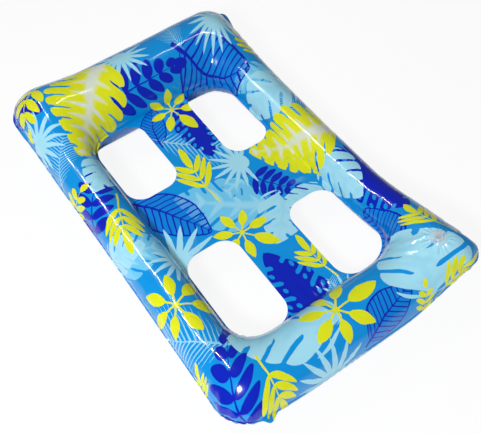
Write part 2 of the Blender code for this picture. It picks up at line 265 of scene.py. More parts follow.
def make_lamp(name, aim, way, distance, size, watts, beam):
    """A soft box that faces its aim, its width kept level."""
    data = bpy.data.lights.new(name, "AREA")
    data.shape = "RECTANGLE"
    data.size, data.size_y = size
    data.energy = watts
    data.spread = math.radians(beam)
    back = Vector(way).normalized()
    level = Vector((0, 1, 0)).cross(back).normalized()
    axes = Matrix((level, back.cross(level), back)).transposed()
    lamp = add_object(name, data)
    lamp.matrix_world = Matrix.LocRotScale(Vector(aim) + back * distance, axes, None)


make_floor()
for name, facts in LAMPS.items():
    make_lamp(name, *facts)
sky = bpy.data.worlds.new("studio")
sky.use_nodes = True
background = sky.node_tree.nodes["Background"]
Tree(sky.node_tree).fill(background, {"Color": WHITE, "Strength": SKY_STRENGTH})
bpy.context.scene.world = sky
bpy.context.scene.view_settings.view_transform = "Standard"
print("lamps:", list(LAMPS))

# %% [markdown]
# ## The ring's layout
#
# The float starts as two flat sheets, fused along an outer and an inner line. Blown
# up, the strip between the lines becomes a tube. The layout is the CAD part's own:
# straight runs along the sides, and at each corner sections that fan out from the
# centre of the inner arc. One number, the station, goes round the ring from 0 to 8.

# %% Sizes of the ring
LENGTH = 0.900  # between the outer weld lines, as the width is
WIDTH = 0.569
SIDE_WAIST = 0.0098  # how far the long sides bow in
WAIST_BIAS = 0.0017  # and how much more one of them does, the other less
CORNER_SIGNS = ((1, 1), (-1, 1), (-1, -1), (1, -1))  # the valve's corner comes first
CORNER_RADII = (0.030, 0.055, 0.063, 0.069)  # of the outer weld line
CORNER_LIFTS = (0.059, 0.014, 0.035, 0.017)  # how far each corner curls up
CORNER_TAPERS = (0.0115, -0.0044, 0.0, 0.0)  # how much narrower the side tube gets there
CURL_START = 0.35
HEAD_TUBE_RADIUS = 0.087
VALVE_TUBE_RADIUS = 0.064
SIDE_TUBE_RADIUS = 0.051
INNER_CORNER_RADIUS = 0.061
CORNER_PINCH = 0.36  # how much flatter a corner's section is towards the outer weld
CORNER_SWELL = 0.07
FLOOR_PRESS = 0.0006  # how far the floor flattens the end tubes
FILM = 0.0003
GAP = 0.0003  # between pieces that touch
INNER_LIP = 0.004
TINY = 1e-6


def smooth_step(value):
    part = min(max(value, 0.0), 1.0)
    return part * part * (3 - 2 * part)


def lift(flat):
    """Height of the weld plane, which slopes, and of the curl at each corner."""
    x, y = flat
    head_axis = -LENGTH / 2 + HEAD_TUBE_RADIUS
    valve_axis = LENGTH / 2 - VALVE_TUBE_RADIUS
    part = (x - head_axis) / (valve_axis - head_axis)
    radius = HEAD_TUBE_RADIUS + part * (VALVE_TUBE_RADIUS - HEAD_TUBE_RADIUS)
    curl = CORNER_LIFTS[CORNER_SIGNS.index((1 if x > 0 else -1, 1 if y > 0 else -1))]
    along = smooth_step((abs(x) / (LENGTH / 2) - CURL_START) / (1 - CURL_START))
    across = smooth_step((abs(y) / (WIDTH / 2) - CURL_START) / (1 - CURL_START))
    return radius + GAP / 2 - FLOOR_PRESS + curl * along * across


def end_tube_radius(x):
    return VALVE_TUBE_RADIUS if x > 0 else HEAD_TUBE_RADIUS


def fan_centre(corner):
    sign_x, sign_y = CORNER_SIGNS[corner]
    x = LENGTH / 2 - 2 * end_tube_radius(sign_x) - INNER_CORNER_RADIUS
    y = WIDTH / 2 - 2 * SIDE_TUBE_RADIUS + CORNER_TAPERS[corner] - INNER_CORNER_RADIUS
    return Vector((sign_x * x, sign_y * y))


def outer_point(centre, direction, radius):
    """Where a line from centre meets the outer weld line, which turns with that radius."""
    sign = Vector((math.copysign(1, centre.x), math.copysign(1, centre.y)))
    start = centre * sign
    way = direction * sign
    reaches = [
        (half - begin) / step
        for half, begin, step in ((LENGTH / 2, start.x, way.x), (WIDTH / 2, start.y, way.y))
        if step > TINY
    ]
    point = start + way * min(reaches)
    arc = Vector((LENGTH / 2 - radius, WIDTH / 2 - radius))
    if point.x > arc.x and point.y > arc.y:
        offset = start - arc
        along = offset.dot(way)
        reach = -along + math.sqrt(along**2 - offset.length_squared + radius**2)
        point = start + way * reach
    return point * sign


def fan_section(corner, part):
    angle = math.radians(90 * (corner + part))
    direction = Vector((math.cos(angle), math.sin(angle)))
    centre = fan_centre(corner)
    inner = centre + INNER_CORNER_RADIUS * direction
    return outer_point(centre, direction, CORNER_RADII[corner]), inner


def ring_section(station):
    """Outer and inner weld point at a station, and how much of a corner it is."""
    span, part = divmod(station % 8, 1)
    corner = int(span) // 2
    if span % 2 == 0:
        outer, inner = fan_section(corner, part)
        return outer, inner, math.sin(math.pi * part) ** 2
    before = fan_section(corner, 1)
    after = fan_section((corner + 1) % 4, 0)
    return before[0].lerp(after[0], part), before[1].lerp(after[1], part), 0.0


for corner_name, station in (("valve corner", 0.5), ("head side", 3.5)):
    outer, inner, _ = ring_section(station)
    print(corner_name, "section is", round((outer - inner).length * 1000), "mm across")

# %% [markdown]
# ## Blowing up a flat sheet
#
# Every film piece is first a flat mesh in the layout. Each of its points carries the
# tube's radius there, how far round the tube it lies and how high the weld plane is.
# Geometry Nodes then apply one rule to all of them: a circle's arc over each section,
# pinched towards the welds of the corners. Creases move the film along its normal.
# The rule is written once, so top, bottom, welds and panel all meet.

# %% A flat mesh with what its points carry
POINT_FACTS = ("turn", "tube_radius", "cornerness", "weld_height", "crease")


def flat_mesh(name, points, faces, facts, sheet_places):
    """facts has a row for each point, in the order of POINT_FACTS."""
    mesh = bpy.data.meshes.new(name)
    mesh.from_pydata([(*point, 0.0) for point in points], [], faces)
    for fact, values in zip(POINT_FACTS, zip(*facts)):
        stored = mesh.attributes.new(fact, "FLOAT", "POINT")
        stored.data.foreach_set("value", np.array(values, np.float32))
    places = np.array([(*place, 0.0) for place in sheet_places], np.float32)
    stored = mesh.attributes.new("sheet_place", "FLOAT_VECTOR", "POINT")
    stored.data.foreach_set("vector", places.ravel())
    return add_object(name, mesh)


# %% The rule as a node tree
RING_SIZES = {
    "Half length": LENGTH / 2,
    "Half width": WIDTH / 2,
    "Waist": SIDE_WAIST,
    "Waist bias": WAIST_BIAS,
    "Pinch": CORNER_PINCH,
    "Swell": CORNER_SWELL,
}


def new_group(name, inputs):
    """The tree of a new Geometry Nodes group, and the sockets of what it is given."""
    group = bpy.data.node_groups.new(name, "GeometryNodeTree")
    for given, kind in (("Geometry", "Geometry"), *inputs):
        group.interface.new_socket(given, in_out="INPUT", socket_type="NodeSocket" + kind)
    group.interface.new_socket("Geometry", in_out="OUTPUT", socket_type="NodeSocketGeometry")
    tree = Tree(group)
    return tree, tree.node("NodeGroupInput").outputs


def end_group(tree, geometry, surface):
    """Hands out the geometry, made real and dressed in its surface."""
    real = tree.node("GeometryNodeRealizeInstances", {0: geometry})
    dressed = tree.node("GeometryNodeSetMaterial", {"Geometry": real.outputs[0], "Material": surface})
    tree.node("NodeGroupOutput", {0: dressed.outputs[0]})
    return tree.nodes


def inflate_group():
    """The rule: where each point of a flat mesh goes when the film is blown up."""
    names = [*RING_SIZES, "Side", "Clearance"]
    floats = [(name, "Float") for name in names]
    tree, given = new_group("Inflate film", [*floats, ("Film", "Material")])
    size = {name: Value(tree, given[name]) for name in names}
    fact = {}
    for name in POINT_FACTS:
        read = tree.node("GeometryNodeInputNamedAttribute", {"Name": name}, data_type="FLOAT")
        fact[name] = Value(tree, read.outputs["Attribute"])

    def moved(geometry, socket, value):
        return tree.node("GeometryNodeSetPosition", {"Geometry": geometry, socket: value}).outputs[0]

    x, y, z = tree.split(tree.node("GeometryNodeInputPosition").outputs[0])
    along = fact["turn"].math("COSINE").math("MAXIMUM", 0.0)
    pinch = 1 - size["Pinch"] * fact["cornerness"] * along**2
    swell = 1 + size["Swell"] * fact["cornerness"]
    rise = fact["tube_radius"] * fact["turn"].math("SINE") * pinch * swell
    height = fact["weld_height"] + size["Side"] * (rise + size["Clearance"])
    across = y / size["Half width"]
    end_share = x / size["Half length"]
    waist = (size["Waist"] + size["Waist bias"] * across) * across * (1 - end_share * end_share)
    place = tree.join(x, y - waist, height.math("MAXIMUM", 0.0))
    blown = moved(given["Geometry"], "Position", place)
    normal = tree.node("GeometryNodeInputNormal").outputs[0]
    push = tree.node("ShaderNodeVectorMath", {0: normal, "Scale": fact["crease"]}, operation="SCALE")
    creased = moved(blown, "Offset", push.outputs[0])
    resting = moved(creased, "Position", tree.join(x, y, z.math("MAXIMUM", 0.0)))
    return end_group(tree, resting, given["Film"])


INFLATE = inflate_group()
print("inflate tree:", len(INFLATE.nodes), "nodes")

# %% Running the rule on a flat mesh
SHARP_FOLD = math.radians(40)  # where film turns by more than this, its shading breaks


def worked_out(piece):
    """The mesh of an object with its modifiers carried out."""
    graph = bpy.context.evaluated_depsgraph_get()
    return bpy.data.meshes.new_from_object(piece.evaluated_get(graph), depsgraph=graph)


def run_nodes(maker, group, inputs):
    """Gives an object a Geometry Nodes tree, and returns the result as a plain object."""
    modifier = maker.modifiers.new("rule", "NODES")
    modifier.node_group = group
    for item in group.interface.items_tree:
        if item.in_out == "INPUT" and item.name in inputs:
            modifier[item.identifier] = inputs[item.name]
    maker.update_tag()
    bpy.context.view_layer.update()
    mesh = worked_out(maker)
    name = maker.name
    bpy.data.objects.remove(maker)
    mesh.name = name
    return add_object(name, mesh)


def inflate(flat_object, side, clearance, film):
    """Side is one for film above the weld plane and minus one for film below it."""
    inputs = {**RING_SIZES, "Side": float(side), "Clearance": clearance, "Film": film}
    return run_nodes(flat_object, INFLATE, inputs)


def thicken(piece, thickness, offset):
    """Gives an open sheet its real thickness, as a closed skin."""
    wall = piece.modifiers.new("Thickness", "SOLIDIFY")
    wall.thickness = thickness
    wall.offset = offset
    wall.use_even_offset = False
    mesh = worked_out(piece)
    piece.modifiers.clear()
    piece.data = mesh
    mesh.name = piece.name
    mesh.shade_smooth()
    mesh.set_sharp_from_angle(angle=SHARP_FOLD)
    return piece


print("functions ready to blow up and thicken film")

# %% [markdown]
# ## The tube's films
#
# The upper film is one sheet from the outer weld over the tube to the inner weld. A
# grid of sections gives it: close together round the ring, so that small creases can
# be formed. The printed sheet's own coordinates run on from the panel over the tube,
# by the length of the arc, so a leaf that crosses the weld stays in one piece.

# %% Creases in the film
# Each is a fold: start and end on the printed sheet, half its width, and its height.
CREASES = [
    ((0.360, 0.066), (0.262, 0.062), 0.0050, 0.0022),
    ((0.352, -0.020), (0.270, -0.018), 0.0045, 0.0016),
    ((0.350, -0.048), (0.288, -0.040), 0.0040, -0.0018),
    ((0.058, -0.118), (0.098, -0.160), 0.0045, 0.0024),
    ((0.020, -0.172), (0.045, -0.120), 0.0045, 0.0014),
    ((0.075, 0.178), (0.060, 0.120), 0.0045, 0.0016),
    ((-0.030, 0.182), (-0.020, 0.125), 0.0045, 0.0014),
    ((-0.305, 0.052), (-0.235, 0.040), 0.0050, 0.0016),
    ((-0.305, -0.030), (-0.240, -0.022), 0.0050, 0.0014),
    ((0.400, 0.165), (0.455, 0.225), 0.0050, -0.0014),
    ((0.372, 0.185), (0.395, 0.262), 0.0050, 0.0012),
]
# Pleats fan out where the panel's long bar is welded to the tube at the valve's end.
PLEATS = [
    ((0.356, 0.036), (0.290, 0.058)),
    ((0.356, 0.029), (0.280, 0.044)),
    ((0.356, 0.022), (0.272, 0.030)),
    ((0.356, 0.015), (0.275, 0.016)),
    ((0.356, 0.008), (0.288, 0.002)),
]
PLEAT_HALF_WIDTH = 0.0048
PLEAT_HEIGHT = 0.0023
OUTER_GATHERS = 11  # ripples round each corner, beside the outer weld
OUTER_GATHER_HEIGHT = 0.0030
INNER_GATHERS = 6  # and beside the inner weld
INNER_GATHER_HEIGHT = 0.0016
SIDE_PUCKERS = 17  # along each straight run
SIDE_PUCKER_HEIGHT = 0.0006
CREASE_RUN_OUT = 0.2  # how far creases run on beyond both ends, as a share of their length
CREASE_FADE = 0.5
PLEAT_FADE = 0.4


def fold_place(place, start, end):
    """Share of the way along a fold's line, and distance from the line."""
    run = Vector(end) - Vector(start)
    offset = place - Vector(start)
    return offset.dot(run) / run.length_squared, abs(run.x * offset.y - run.y * offset.x) / run.length


def crease_height(place):
    """Creases are soft waves of the film, which fade towards both ends."""
    height = 0.0
    for start, end, half_width, depth in CREASES:
        along, off = fold_place(place, start, end)
        off = off / half_width
        if -CREASE_RUN_OUT < along < 1 + CREASE_RUN_OUT and off < 3:
            fade = smooth_step((along + CREASE_RUN_OUT) / CREASE_FADE)
            fade *= smooth_step((1 + CREASE_RUN_OUT - along) / CREASE_FADE)
            height += depth * math.exp(-off * off) * fade
    return height


def pleat_height(place):
    """Pleats are ridges with nearly flat flanks, which catch the light as bright lines."""
    height = 0.0
    for start, end in PLEATS:
        along, off = fold_place(place, start, end)
        off = off / PLEAT_HALF_WIDTH
        if 0 < along < 1 and off < 1:
            height += PLEAT_HEIGHT * (1 - off) ** 1.3 * smooth_step((1 - along) / PLEAT_FADE)
    return height


def uneven_wave(station, count):
    """A ripple round the ring whose waves differ in width and height."""
    steady = math.sin(2 * math.pi * count * station + 2.3 * math.sin(5 * station))
    return steady * (0.65 + 0.35 * math.sin(7.3 * station + count))


WOBBLES = ((11.0, 0.0011), (31.0, 0.0004))  # waves to a metre, and their height
WOBBLE_RADIUS = 0.06  # about the tube's, so that the waves are as long round it as along it


def wobble(point, turn):
    """The slow unevenness of blown-up film, none of it at the welds."""
    place = Vector((*point, turn * WOBBLE_RADIUS))
    return sum(noise.noise(place * scale) * high for scale, high in WOBBLES) * math.sin(turn)


def clear_of_welds(turn):
    """Nought on the welds, which stay where they are, and one a little way off them."""
    return min(math.sin(turn) * 6, 1.0)


def gathers(station, turn, cornerness):
    """Ripples where the film is gathered into its welds, most of all round a corner."""
    outer = max(math.cos(turn), 0.0) ** 5 * OUTER_GATHER_HEIGHT * cornerness
    inner = max(-math.cos(turn), 0.0) ** 4 * INNER_GATHER_HEIGHT * cornerness
    straight = abs(math.cos(turn)) ** 8 * SIDE_PUCKER_HEIGHT * (1 - cornerness)
    waves = (
        outer * uneven_wave(station, OUTER_GATHERS)
        + inner * uneven_wave(station, INNER_GATHERS)
        + straight * uneven_wave(station, SIDE_PUCKERS)
    )
    return waves * clear_of_welds(turn)


print("creases:", len(CREASES), "pleats:", len(PLEATS))

# %% Flat grid of the tube
CORNER_STEPS = 48
SIDE_STEPS = 110
END_STEPS = 60
ARC_ROWS = 60


def ring_stations(corner_steps):
    """Corners and straight runs take turns, and so do side and end runs."""
    stations = []
    for span in range(8):
        steps = (corner_steps, SIDE_STEPS, corner_steps, END_STEPS)[span % 4]
        stations += [span + step / steps for step in range(steps)]
    return stations


def section_radius(outer, inner):
    """The tube's radius in a section, between the end tubes' and the side tubes'."""
    way = (outer - inner).normalized()
    return math.hypot(way.x * end_tube_radius(outer.x), way.y * SIDE_TUBE_RADIUS)


def sheet_place(outer, inner, turn):
    """Where a point of the tube lies on the printed sheet."""
    way = (outer - inner).normalized()
    return inner + way * section_radius(outer, inner) * (math.pi - turn)


def ring_mesh(name, stations, rows, section, flipped):
    """A band of cells round the ring. section gives a station's points with their facts."""
    points, sheet_places, facts, faces = [], [], [], []
    for step, station in enumerate(stations):
        for flat, place, fact in section(station):
            points.append(tuple(flat))
            sheet_places.append(tuple(place))
            facts.append(fact)
        here = step * (rows + 1)
        following = (step + 1) % len(stations) * (rows + 1)
        for row in range(rows):
            corners = (here + row, following + row, following + row + 1, here + row + 1)
            faces.append(corners[::-1] if flipped else corners)
    return flat_mesh(name, points, faces, facts, sheet_places)


def tube_flat(name, side):
    """One wall of the tube, from the outer weld line to the inner."""

    def section(station):
        outer, inner, cornerness = ring_section(station)
        radius = section_radius(outer, inner)
        for row in range(ARC_ROWS + 1):
            turn = math.pi * row / ARC_ROWS
            flat = (outer + inner) / 2 + (outer - inner) / 2 * math.cos(turn)
            place = sheet_place(outer, inner, turn)
            crease = gathers(station, turn, cornerness) + wobble(place, turn)
            if side > 0:
                crease += crease_height(place) * clear_of_welds(turn)
            yield flat, place, (turn, radius, cornerness, lift(flat), crease)

    return ring_mesh(name, ring_stations(CORNER_STEPS), ARC_ROWS, section, side < 0)


print("sections of the tube:", len(ring_stations(CORNER_STEPS)))

# %% [markdown]
# ## The print
#
# The film is printed with leaves in a few flat inks: fan palms, split leaves, fronds,
# ferns and whorls of leaflets, in pale blue, navy and yellow on azure. A picture could
# be wrapped on, but sums give edges that stay crisp at any size. Leaves of one kind
# make one layer of ink. For each layer, every face of a mesh takes the leaf that is
# nearest to it, and its corners store where they lie in that leaf's own frame: across
# it, along it from base to tip, and a bend that makes each leaf differ. The shader
# then draws one leaf of that kind in that frame, and so all of them.

# %% Where the leaves lie
# Each leaf: place of its base on the sheet, the way that it points in degrees, its
# length, how much its midrib bends, and how broad it is for its kind.
LEAVES = {
    "cyan_split": [
        (0.085, 0.055, 232, 0.20, 0.1, 1.0),
        (0.000, 0.060, 285, 0.11, -0.2, 0.9),
        (-0.205, -0.185, 312, 0.11, 0.1, 1.0),
        (-0.175, 0.300, 255, 0.12, 0.0, 1.0),
        (0.050, -0.345, 82, 0.15, 0.1, 0.9),
        (-0.480, 0.000, 100, 0.10, 0.2, 1.0),
        (-0.505, -0.150, 300, 0.11, 0.2, 1.0),
    ],
    "fern": [
        (-0.375, 0.120, 176, 0.090, 0.2, 1.0),
        (-0.195, -0.045, 48, 0.160, -0.1, 0.8),
        (0.335, -0.225, 225, 0.165, 0.1, 1.0),
        (-0.195, -0.330, 140, 0.110, -0.1, 1.0),
        (0.365, 0.035, 172, 0.070, 0.2, 1.0),
        (-0.020, 0.290, 200, 0.100, 0.2, 1.0),
    ],
    "outline": [
        (-0.375, 0.112, 40, 0.215, -0.25, 1.5),
        (-0.185, -0.045, 157, 0.105, 0.3, 1.0),
        (-0.080, -0.180, 33, 0.180, 0.12, 1.0),
        (0.350, 0.192, 172, 0.130, 0.1, 1.5),
        (0.500, 0.015, 112, 0.125, 0.2, 1.15),
        (-0.075, -0.200, 175, 0.075, 0.2, 1.0),
    ],
    "frond": [
        (-0.338, -0.095, 94, 0.185, 0.1, 1.0),
        (0.005, 0.070, 36, 0.110, -0.15, 1.2),
        (-0.045, -0.335, 137, 0.170, 0.1, 1.0),
        (0.475, -0.272, 163, 0.175, 0.1, 0.95),
        (0.130, 0.330, 250, 0.130, 0.2, 1.0),
        (0.330, -0.075, 200, 0.060, 0.2, 1.0),
    ],
    "dotted": [
        (-0.255, 0.060, 350, 0.170, 0.05, 0.8),
        (0.375, -0.012, 184, 0.200, -0.1, 0.75),
        (0.130, 0.272, 2, 0.170, 0.05, 1.0),
        (-0.455, -0.310, 32, 0.120, 0.1, 1.0),
    ],
    "pale_split": [
        (-0.135, 0.315, 272, 0.150, 0.1, 1.0),
        (0.065, 0.225, 4, 0.138, 0.1, 0.95),
        (0.500, 0.172, 172, 0.175, 0.1, 1.10),
        (0.430, -0.012, 243, 0.240, 0.15, 0.72),
        (0.072, 0.100, 318, 0.135, 0.2, 0.9),
        (0.118, 0.180, 262, 0.110, 0.0, 0.6),
        (-0.205, -0.190, 318, 0.120, 0.1, 0.9),
        (0.015, -0.350, 70, 0.105, 0.0, 0.9),
    ],
    "fan_palm": [
        (-0.372, 0.240, 300, 0.080, 0.0, 1.0),
        (-0.435, -0.015, 350, 0.072, 0.0, 1.0),
        (-0.038, 0.070, 250, 0.072, 0.0, 1.0),
        (0.098, -0.180, 100, 0.095, 0.0, 1.0),
        (0.105, -0.205, 280, 0.070, 0.0, 1.0),
        (-0.316, -0.316, 65, 0.078, 0.0, 1.0),
        (0.535, -0.075, 188, 0.088, 0.0, 1.0),
        (0.350, 0.050, 190, 0.055, 0.0, 1.0),
    ],
    "yellow_split": [
        (-0.450, -0.062, 322, 0.295, -0.1, 0.90),
        (0.030, 0.315, 250, 0.225, 0.1, 1.2),
    ],
    "sprig": [
        (0.004, -0.026, 178, 0.135, 0.1, 0.9),
        (-0.080, -0.238, 341, 0.125, -0.1, 1.0),
        (0.400, -0.194, 357, 0.125, 0.1, 1.0),
        (0.513, 0.188, 126, 0.105, 0.1, 0.9),
        (0.388, 0.258, 172, 0.090, 0.1, 1.2),
        (0.290, 0.060, 184, 0.100, 0.1, 1.0),
        (0.400, -0.335, 160, 0.080, 0.1, 1.0),
    ],
    "twig": [
        (0.530, 0.145, 165, 0.065, 0.1, 1.2),
        (-0.128, -0.365, 100, 0.085, 0.1, 1.2),
        (-0.425, -0.222, 307, 0.115, 0.0, 1.0),
        (-0.250, 0.310, 200, 0.090, 0.1, 1.0),
        (0.005, 0.165, 20, 0.085, 0.1, 0.8),
    ],
    "whorl": [
        (-0.252, 0.030, 15, 0.080, 0.0, 1.0),
        (0.110, -0.032, 40, 0.080, 0.0, 1.0),
        (0.415, -0.012, 92, 0.096, 0.0, 1.0),
        (0.196, -0.272, 62, 0.096, 0.0, 1.0),
    ],
}
ROUND_LEAVES = ("fan_palm", "whorl")  # these spread from their middle, the rest from a base


def read_all(items, field, kind, width=1):
    """A field of all of a mesh's items as one array."""
    values = np.zeros(len(items) * width, kind)
    items.foreach_get(field, values)
    return values


def place_leaves(piece):
    """Stores, for each layer of ink, where a face's corners lie in its nearest leaf."""
    mesh = piece.data
    places = read_all(mesh.attributes["sheet_place"].data, "vector", np.float32, 3).reshape(-1, 3)
    corners = places[read_all(mesh.loops, "vertex_index", np.int32), :2]
    count = read_all(mesh.polygons, "loop_total", np.int32)
    first = read_all(mesh.polygons, "loop_start", np.int32)
    middles = np.add.reduceat(corners, first) / count[:, None]
    for kind, rows_of_leaves in LEAVES.items():
        leaves = np.array(rows_of_leaves)
        heading = np.radians(leaves[:, 2])
        ways = np.stack([np.cos(heading), np.sin(heading)], 1)
        to_middle = 0 if kind in ROUND_LEAVES else 0.5
        leaf_middles = leaves[:, :2] + to_middle * leaves[:, 3:4] * ways
        far = np.linalg.norm(middles[:, None] - leaf_middles, axis=2) / leaves[:, 3]
        nearest = np.repeat(far.argmin(1), count)
        leaf, way = leaves[nearest], ways[nearest]
        offset = (corners - leaf[:, :2]) / leaf[:, 3:4]
        along = (offset * way).sum(1)
        across = offset[:, 0] * way[:, 1] - offset[:, 1] * way[:, 0]
        in_leaf = np.stack([across / leaf[:, 5], along, leaf[:, 4]], 1).astype(np.float32)
        layer = mesh.attributes.new("in_" + kind, "FLOAT_VECTOR", "CORNER")
        layer.data.foreach_set("vector", in_leaf.ravel())
    mesh.attributes.remove(mesh.attributes["sheet_place"])


print({kind: len(leaves) for kind, leaves in LEAVES.items()})

# %% [markdown]
# ## Drawing the leaves
#
# Most leaves are one idea: rows of leaflets on both sides of a midrib, leaning to the
# tip. The row number is the distance along the midrib less the lean, and its fraction
# says how far a point is from a leaflet's own middle line. Thin rows make a fern, fat
# ones a frond, and gaps between wide rows make the slits of a split leaf.

# %% Helpers for leaf shapes
STRAY = 0.045  # how far a hand-drawn leaf strays from its rule, as a share of its length
STRAY_SCALE = 4.0


def leaf_frame(tree, kind):
    """Across and along the nearest leaf of a kind, its midrib straightened, its lines unsteady."""
    stored = tree.node("ShaderNodeAttribute", attribute_name="in_" + kind).outputs["Vector"]
    across, along, bend = tree.split(stored)
    hand = tree.node("ShaderNodeTexNoise", {"Vector": stored, "Scale": STRAY_SCALE, "Detail": 1.0})
    stray_across, stray_along, _ = tree.split(hand.outputs["Color"])
    across = across + bend * along * (1 - along) + (stray_across - 0.5) * STRAY
    return across, along + (stray_along - 0.5) * STRAY


def one_of(first, second):
    """Inside either of two masks."""
    return first.math("MAXIMUM", second)


def between(value, low, high):
    return value.math("MAXIMUM", low).math("MINIMUM", high)


def lens(share, power):
    """Nought at both ends of the share, one in its middle."""
    return (share * (1 - share) * 4).math("MAXIMUM", 0.0) ** power


def rows(side, along, count, lean, curve):
    """Share along the midrib of a leaflet's foot, and distance from its middle line."""
    row = (along - (side * curve + lean) * side) * count
    foot = (row.math("FLOOR") + 0.5) / count
    return foot, abs(row.math("FRACT") - 0.5)


def midrib(side, along, half_width):
    tapered = half_width * (1.15 - along)
    return (side < tapered) * (along > -0.12) * (along < 1)


# %% Leaves in rows
def pinnate(across, along, count, lean, curve, reach, fatness, first, last):
    """Pairs of lens-shaped leaflets on a midrib from first to last, and one at its tip."""
    side = abs(across)
    foot, off = rows(side, along, count, lean, curve)
    longest = between(1.25 - foot, 0.0, 0.9) * reach
    share = side / longest
    leaflet = (off < lens(share, 0.6) * fatness) * (share < 1) * (foot > first) * (foot < last)
    tip_share = (along - last) / (1.12 - last)
    tip_leaflet = side < lens(tip_share, 0.6) * 0.07
    return [one_of(one_of(leaflet, tip_leaflet), midrib(side, along, 0.014))]


def comb(across, along, count, lean, reach, thin):
    """Pairs of thin lines on a midrib."""
    side = abs(across)
    foot, off = rows(side, along, count, lean, 0.0)
    longest = ((foot * math.pi).math("SINE") * 0.6 + 0.4) * reach
    line = (off < thin * (1.15 - side / longest)) * (side < longest) * (foot > 0) * (foot < 1)
    return [one_of(line, midrib(side, along, 0.014))]


# %% Whole leaves
def leaf_width(along, widest, fullness):
    """Half width of a plain leaf along its midrib."""
    inside = between(along, 0.0, 1.0)
    return (inside**fullness * math.pi).math("SINE") ** 0.75 * widest


def outlined(across, along, count, lean, widest):
    """A plain leaf: what lies inside it, and its rim and parallel veins."""
    side = abs(across)
    width = leaf_width(along, widest, 0.85)
    _, off = rows(side, along, count, lean, 0.0)
    ends = (along > 0) * (along < 1)
    inside = side < width
    veins = (off < 0.13) * inside
    rim = abs(side - width) < 0.012
    return inside * ends, one_of(one_of(veins, rim) * ends, midrib(side, along, 0.016))


def split_leaf(across, along, count, lean, curve, widest, slit, depth, rounding):
    """A broad leaf with slits from its edge into rounded lobes, and its branching veins."""
    side = abs(across)
    share = side / (leaf_width(along, widest, 0.72) + 0.001)
    foot, off = rows(side, along, count, lean, curve)
    half = 0.5 - slit
    bow = (1 - off * off / half**2).math("MAXIMUM", 0.0).math("SQRT")
    reach = (1 - rounding + bow * rounding) * (1 - abs((foot * 19).math("SINE")) * rounding * 0.5)
    start = depth * (1 + (foot * 31).math("SINE") * 0.35)
    opening = between((share - start) * 9, 0.0, 1.0).math("SQRT")
    lobe = off < 0.5 - slit * opening
    body = (share < reach) * lobe * (along > 0) * (along < 1)
    vein_share = share / (0.72 - abs((foot * 13).math("SINE")) * 0.25)
    branch = (1 - vein_share).math("MAXIMUM", 0.0) ** 0.5 * 0.30 - off
    middle = (1.1 - along) * 0.075 - side
    veins = one_of(between(branch * 6, 0.0, 1.0), between(middle * 25, 0.0, 1.0)) * body
    return body, veins, off


def dotted(across, along, count, *shape):
    """A split leaf, and a row of round spots down the middle of each lobe."""
    body, _, off = split_leaf(across, along, count, *shape)
    step = 0.115
    from_spot = ((abs(across) / step).math("FRACT") - 0.5) * step
    along_spot = off / count
    spot = from_spot * from_spot + along_spot * along_spot < 0.030**2
    return body, spot * (abs(across) > step * 0.9) * body


# %% Leaves that spread from a middle
def spread(across, along, count):
    """Leaflet number, distance from its middle line, and distance from the hub."""
    step = 2 * math.pi / count
    radius = (across * across + along * along).math("SQRT")
    turn = across.math("ARCTAN2", along) / step
    leaflet = turn.math("ROUND")
    return leaflet, abs((turn - leaflet) * step) * radius, radius


def fan(across, along, count, missing):
    """Pointed blades that join near their middle, the outer ones shorter."""
    leaflet, off, radius = spread(across, along, count)
    tip = 1 - leaflet * leaflet * (1.2 / count**2)
    blade = off < lens(radius / tip * 0.9 + 0.1, 0.8) * 0.066
    inside = (abs(leaflet) < count / 2 - missing) * (radius < tip)
    return [one_of(blade * inside, radius < 0.28)]


def whorl(across, along, count):
    """Lens-shaped leaflets on stalks that meet in the middle."""
    leaflet, off, radius = spread(across, along, count)
    reach = 1 - abs((leaflet * 2.4).math("SINE")) * 0.3
    share = (radius / reach - 0.30) / 0.70
    blade = off < lens(share, 0.85) * reach * 0.165
    stalk = (off < 0.020) * (radius < 0.5)
    return [one_of(one_of(blade, stalk), radius < 0.065)]


print("leaf shapes ready")

# %% [markdown]
# ## The printed film
#
# Inks are laid over each other from the ground up: the faintest leaves first, navy ones
# next, pale ones over those and yellow last. The film itself is soft vinyl: a glossy
# coat, and a very fine unevenness that breaks up reflections. Where two films are
# fused, it is duller and finely embossed.

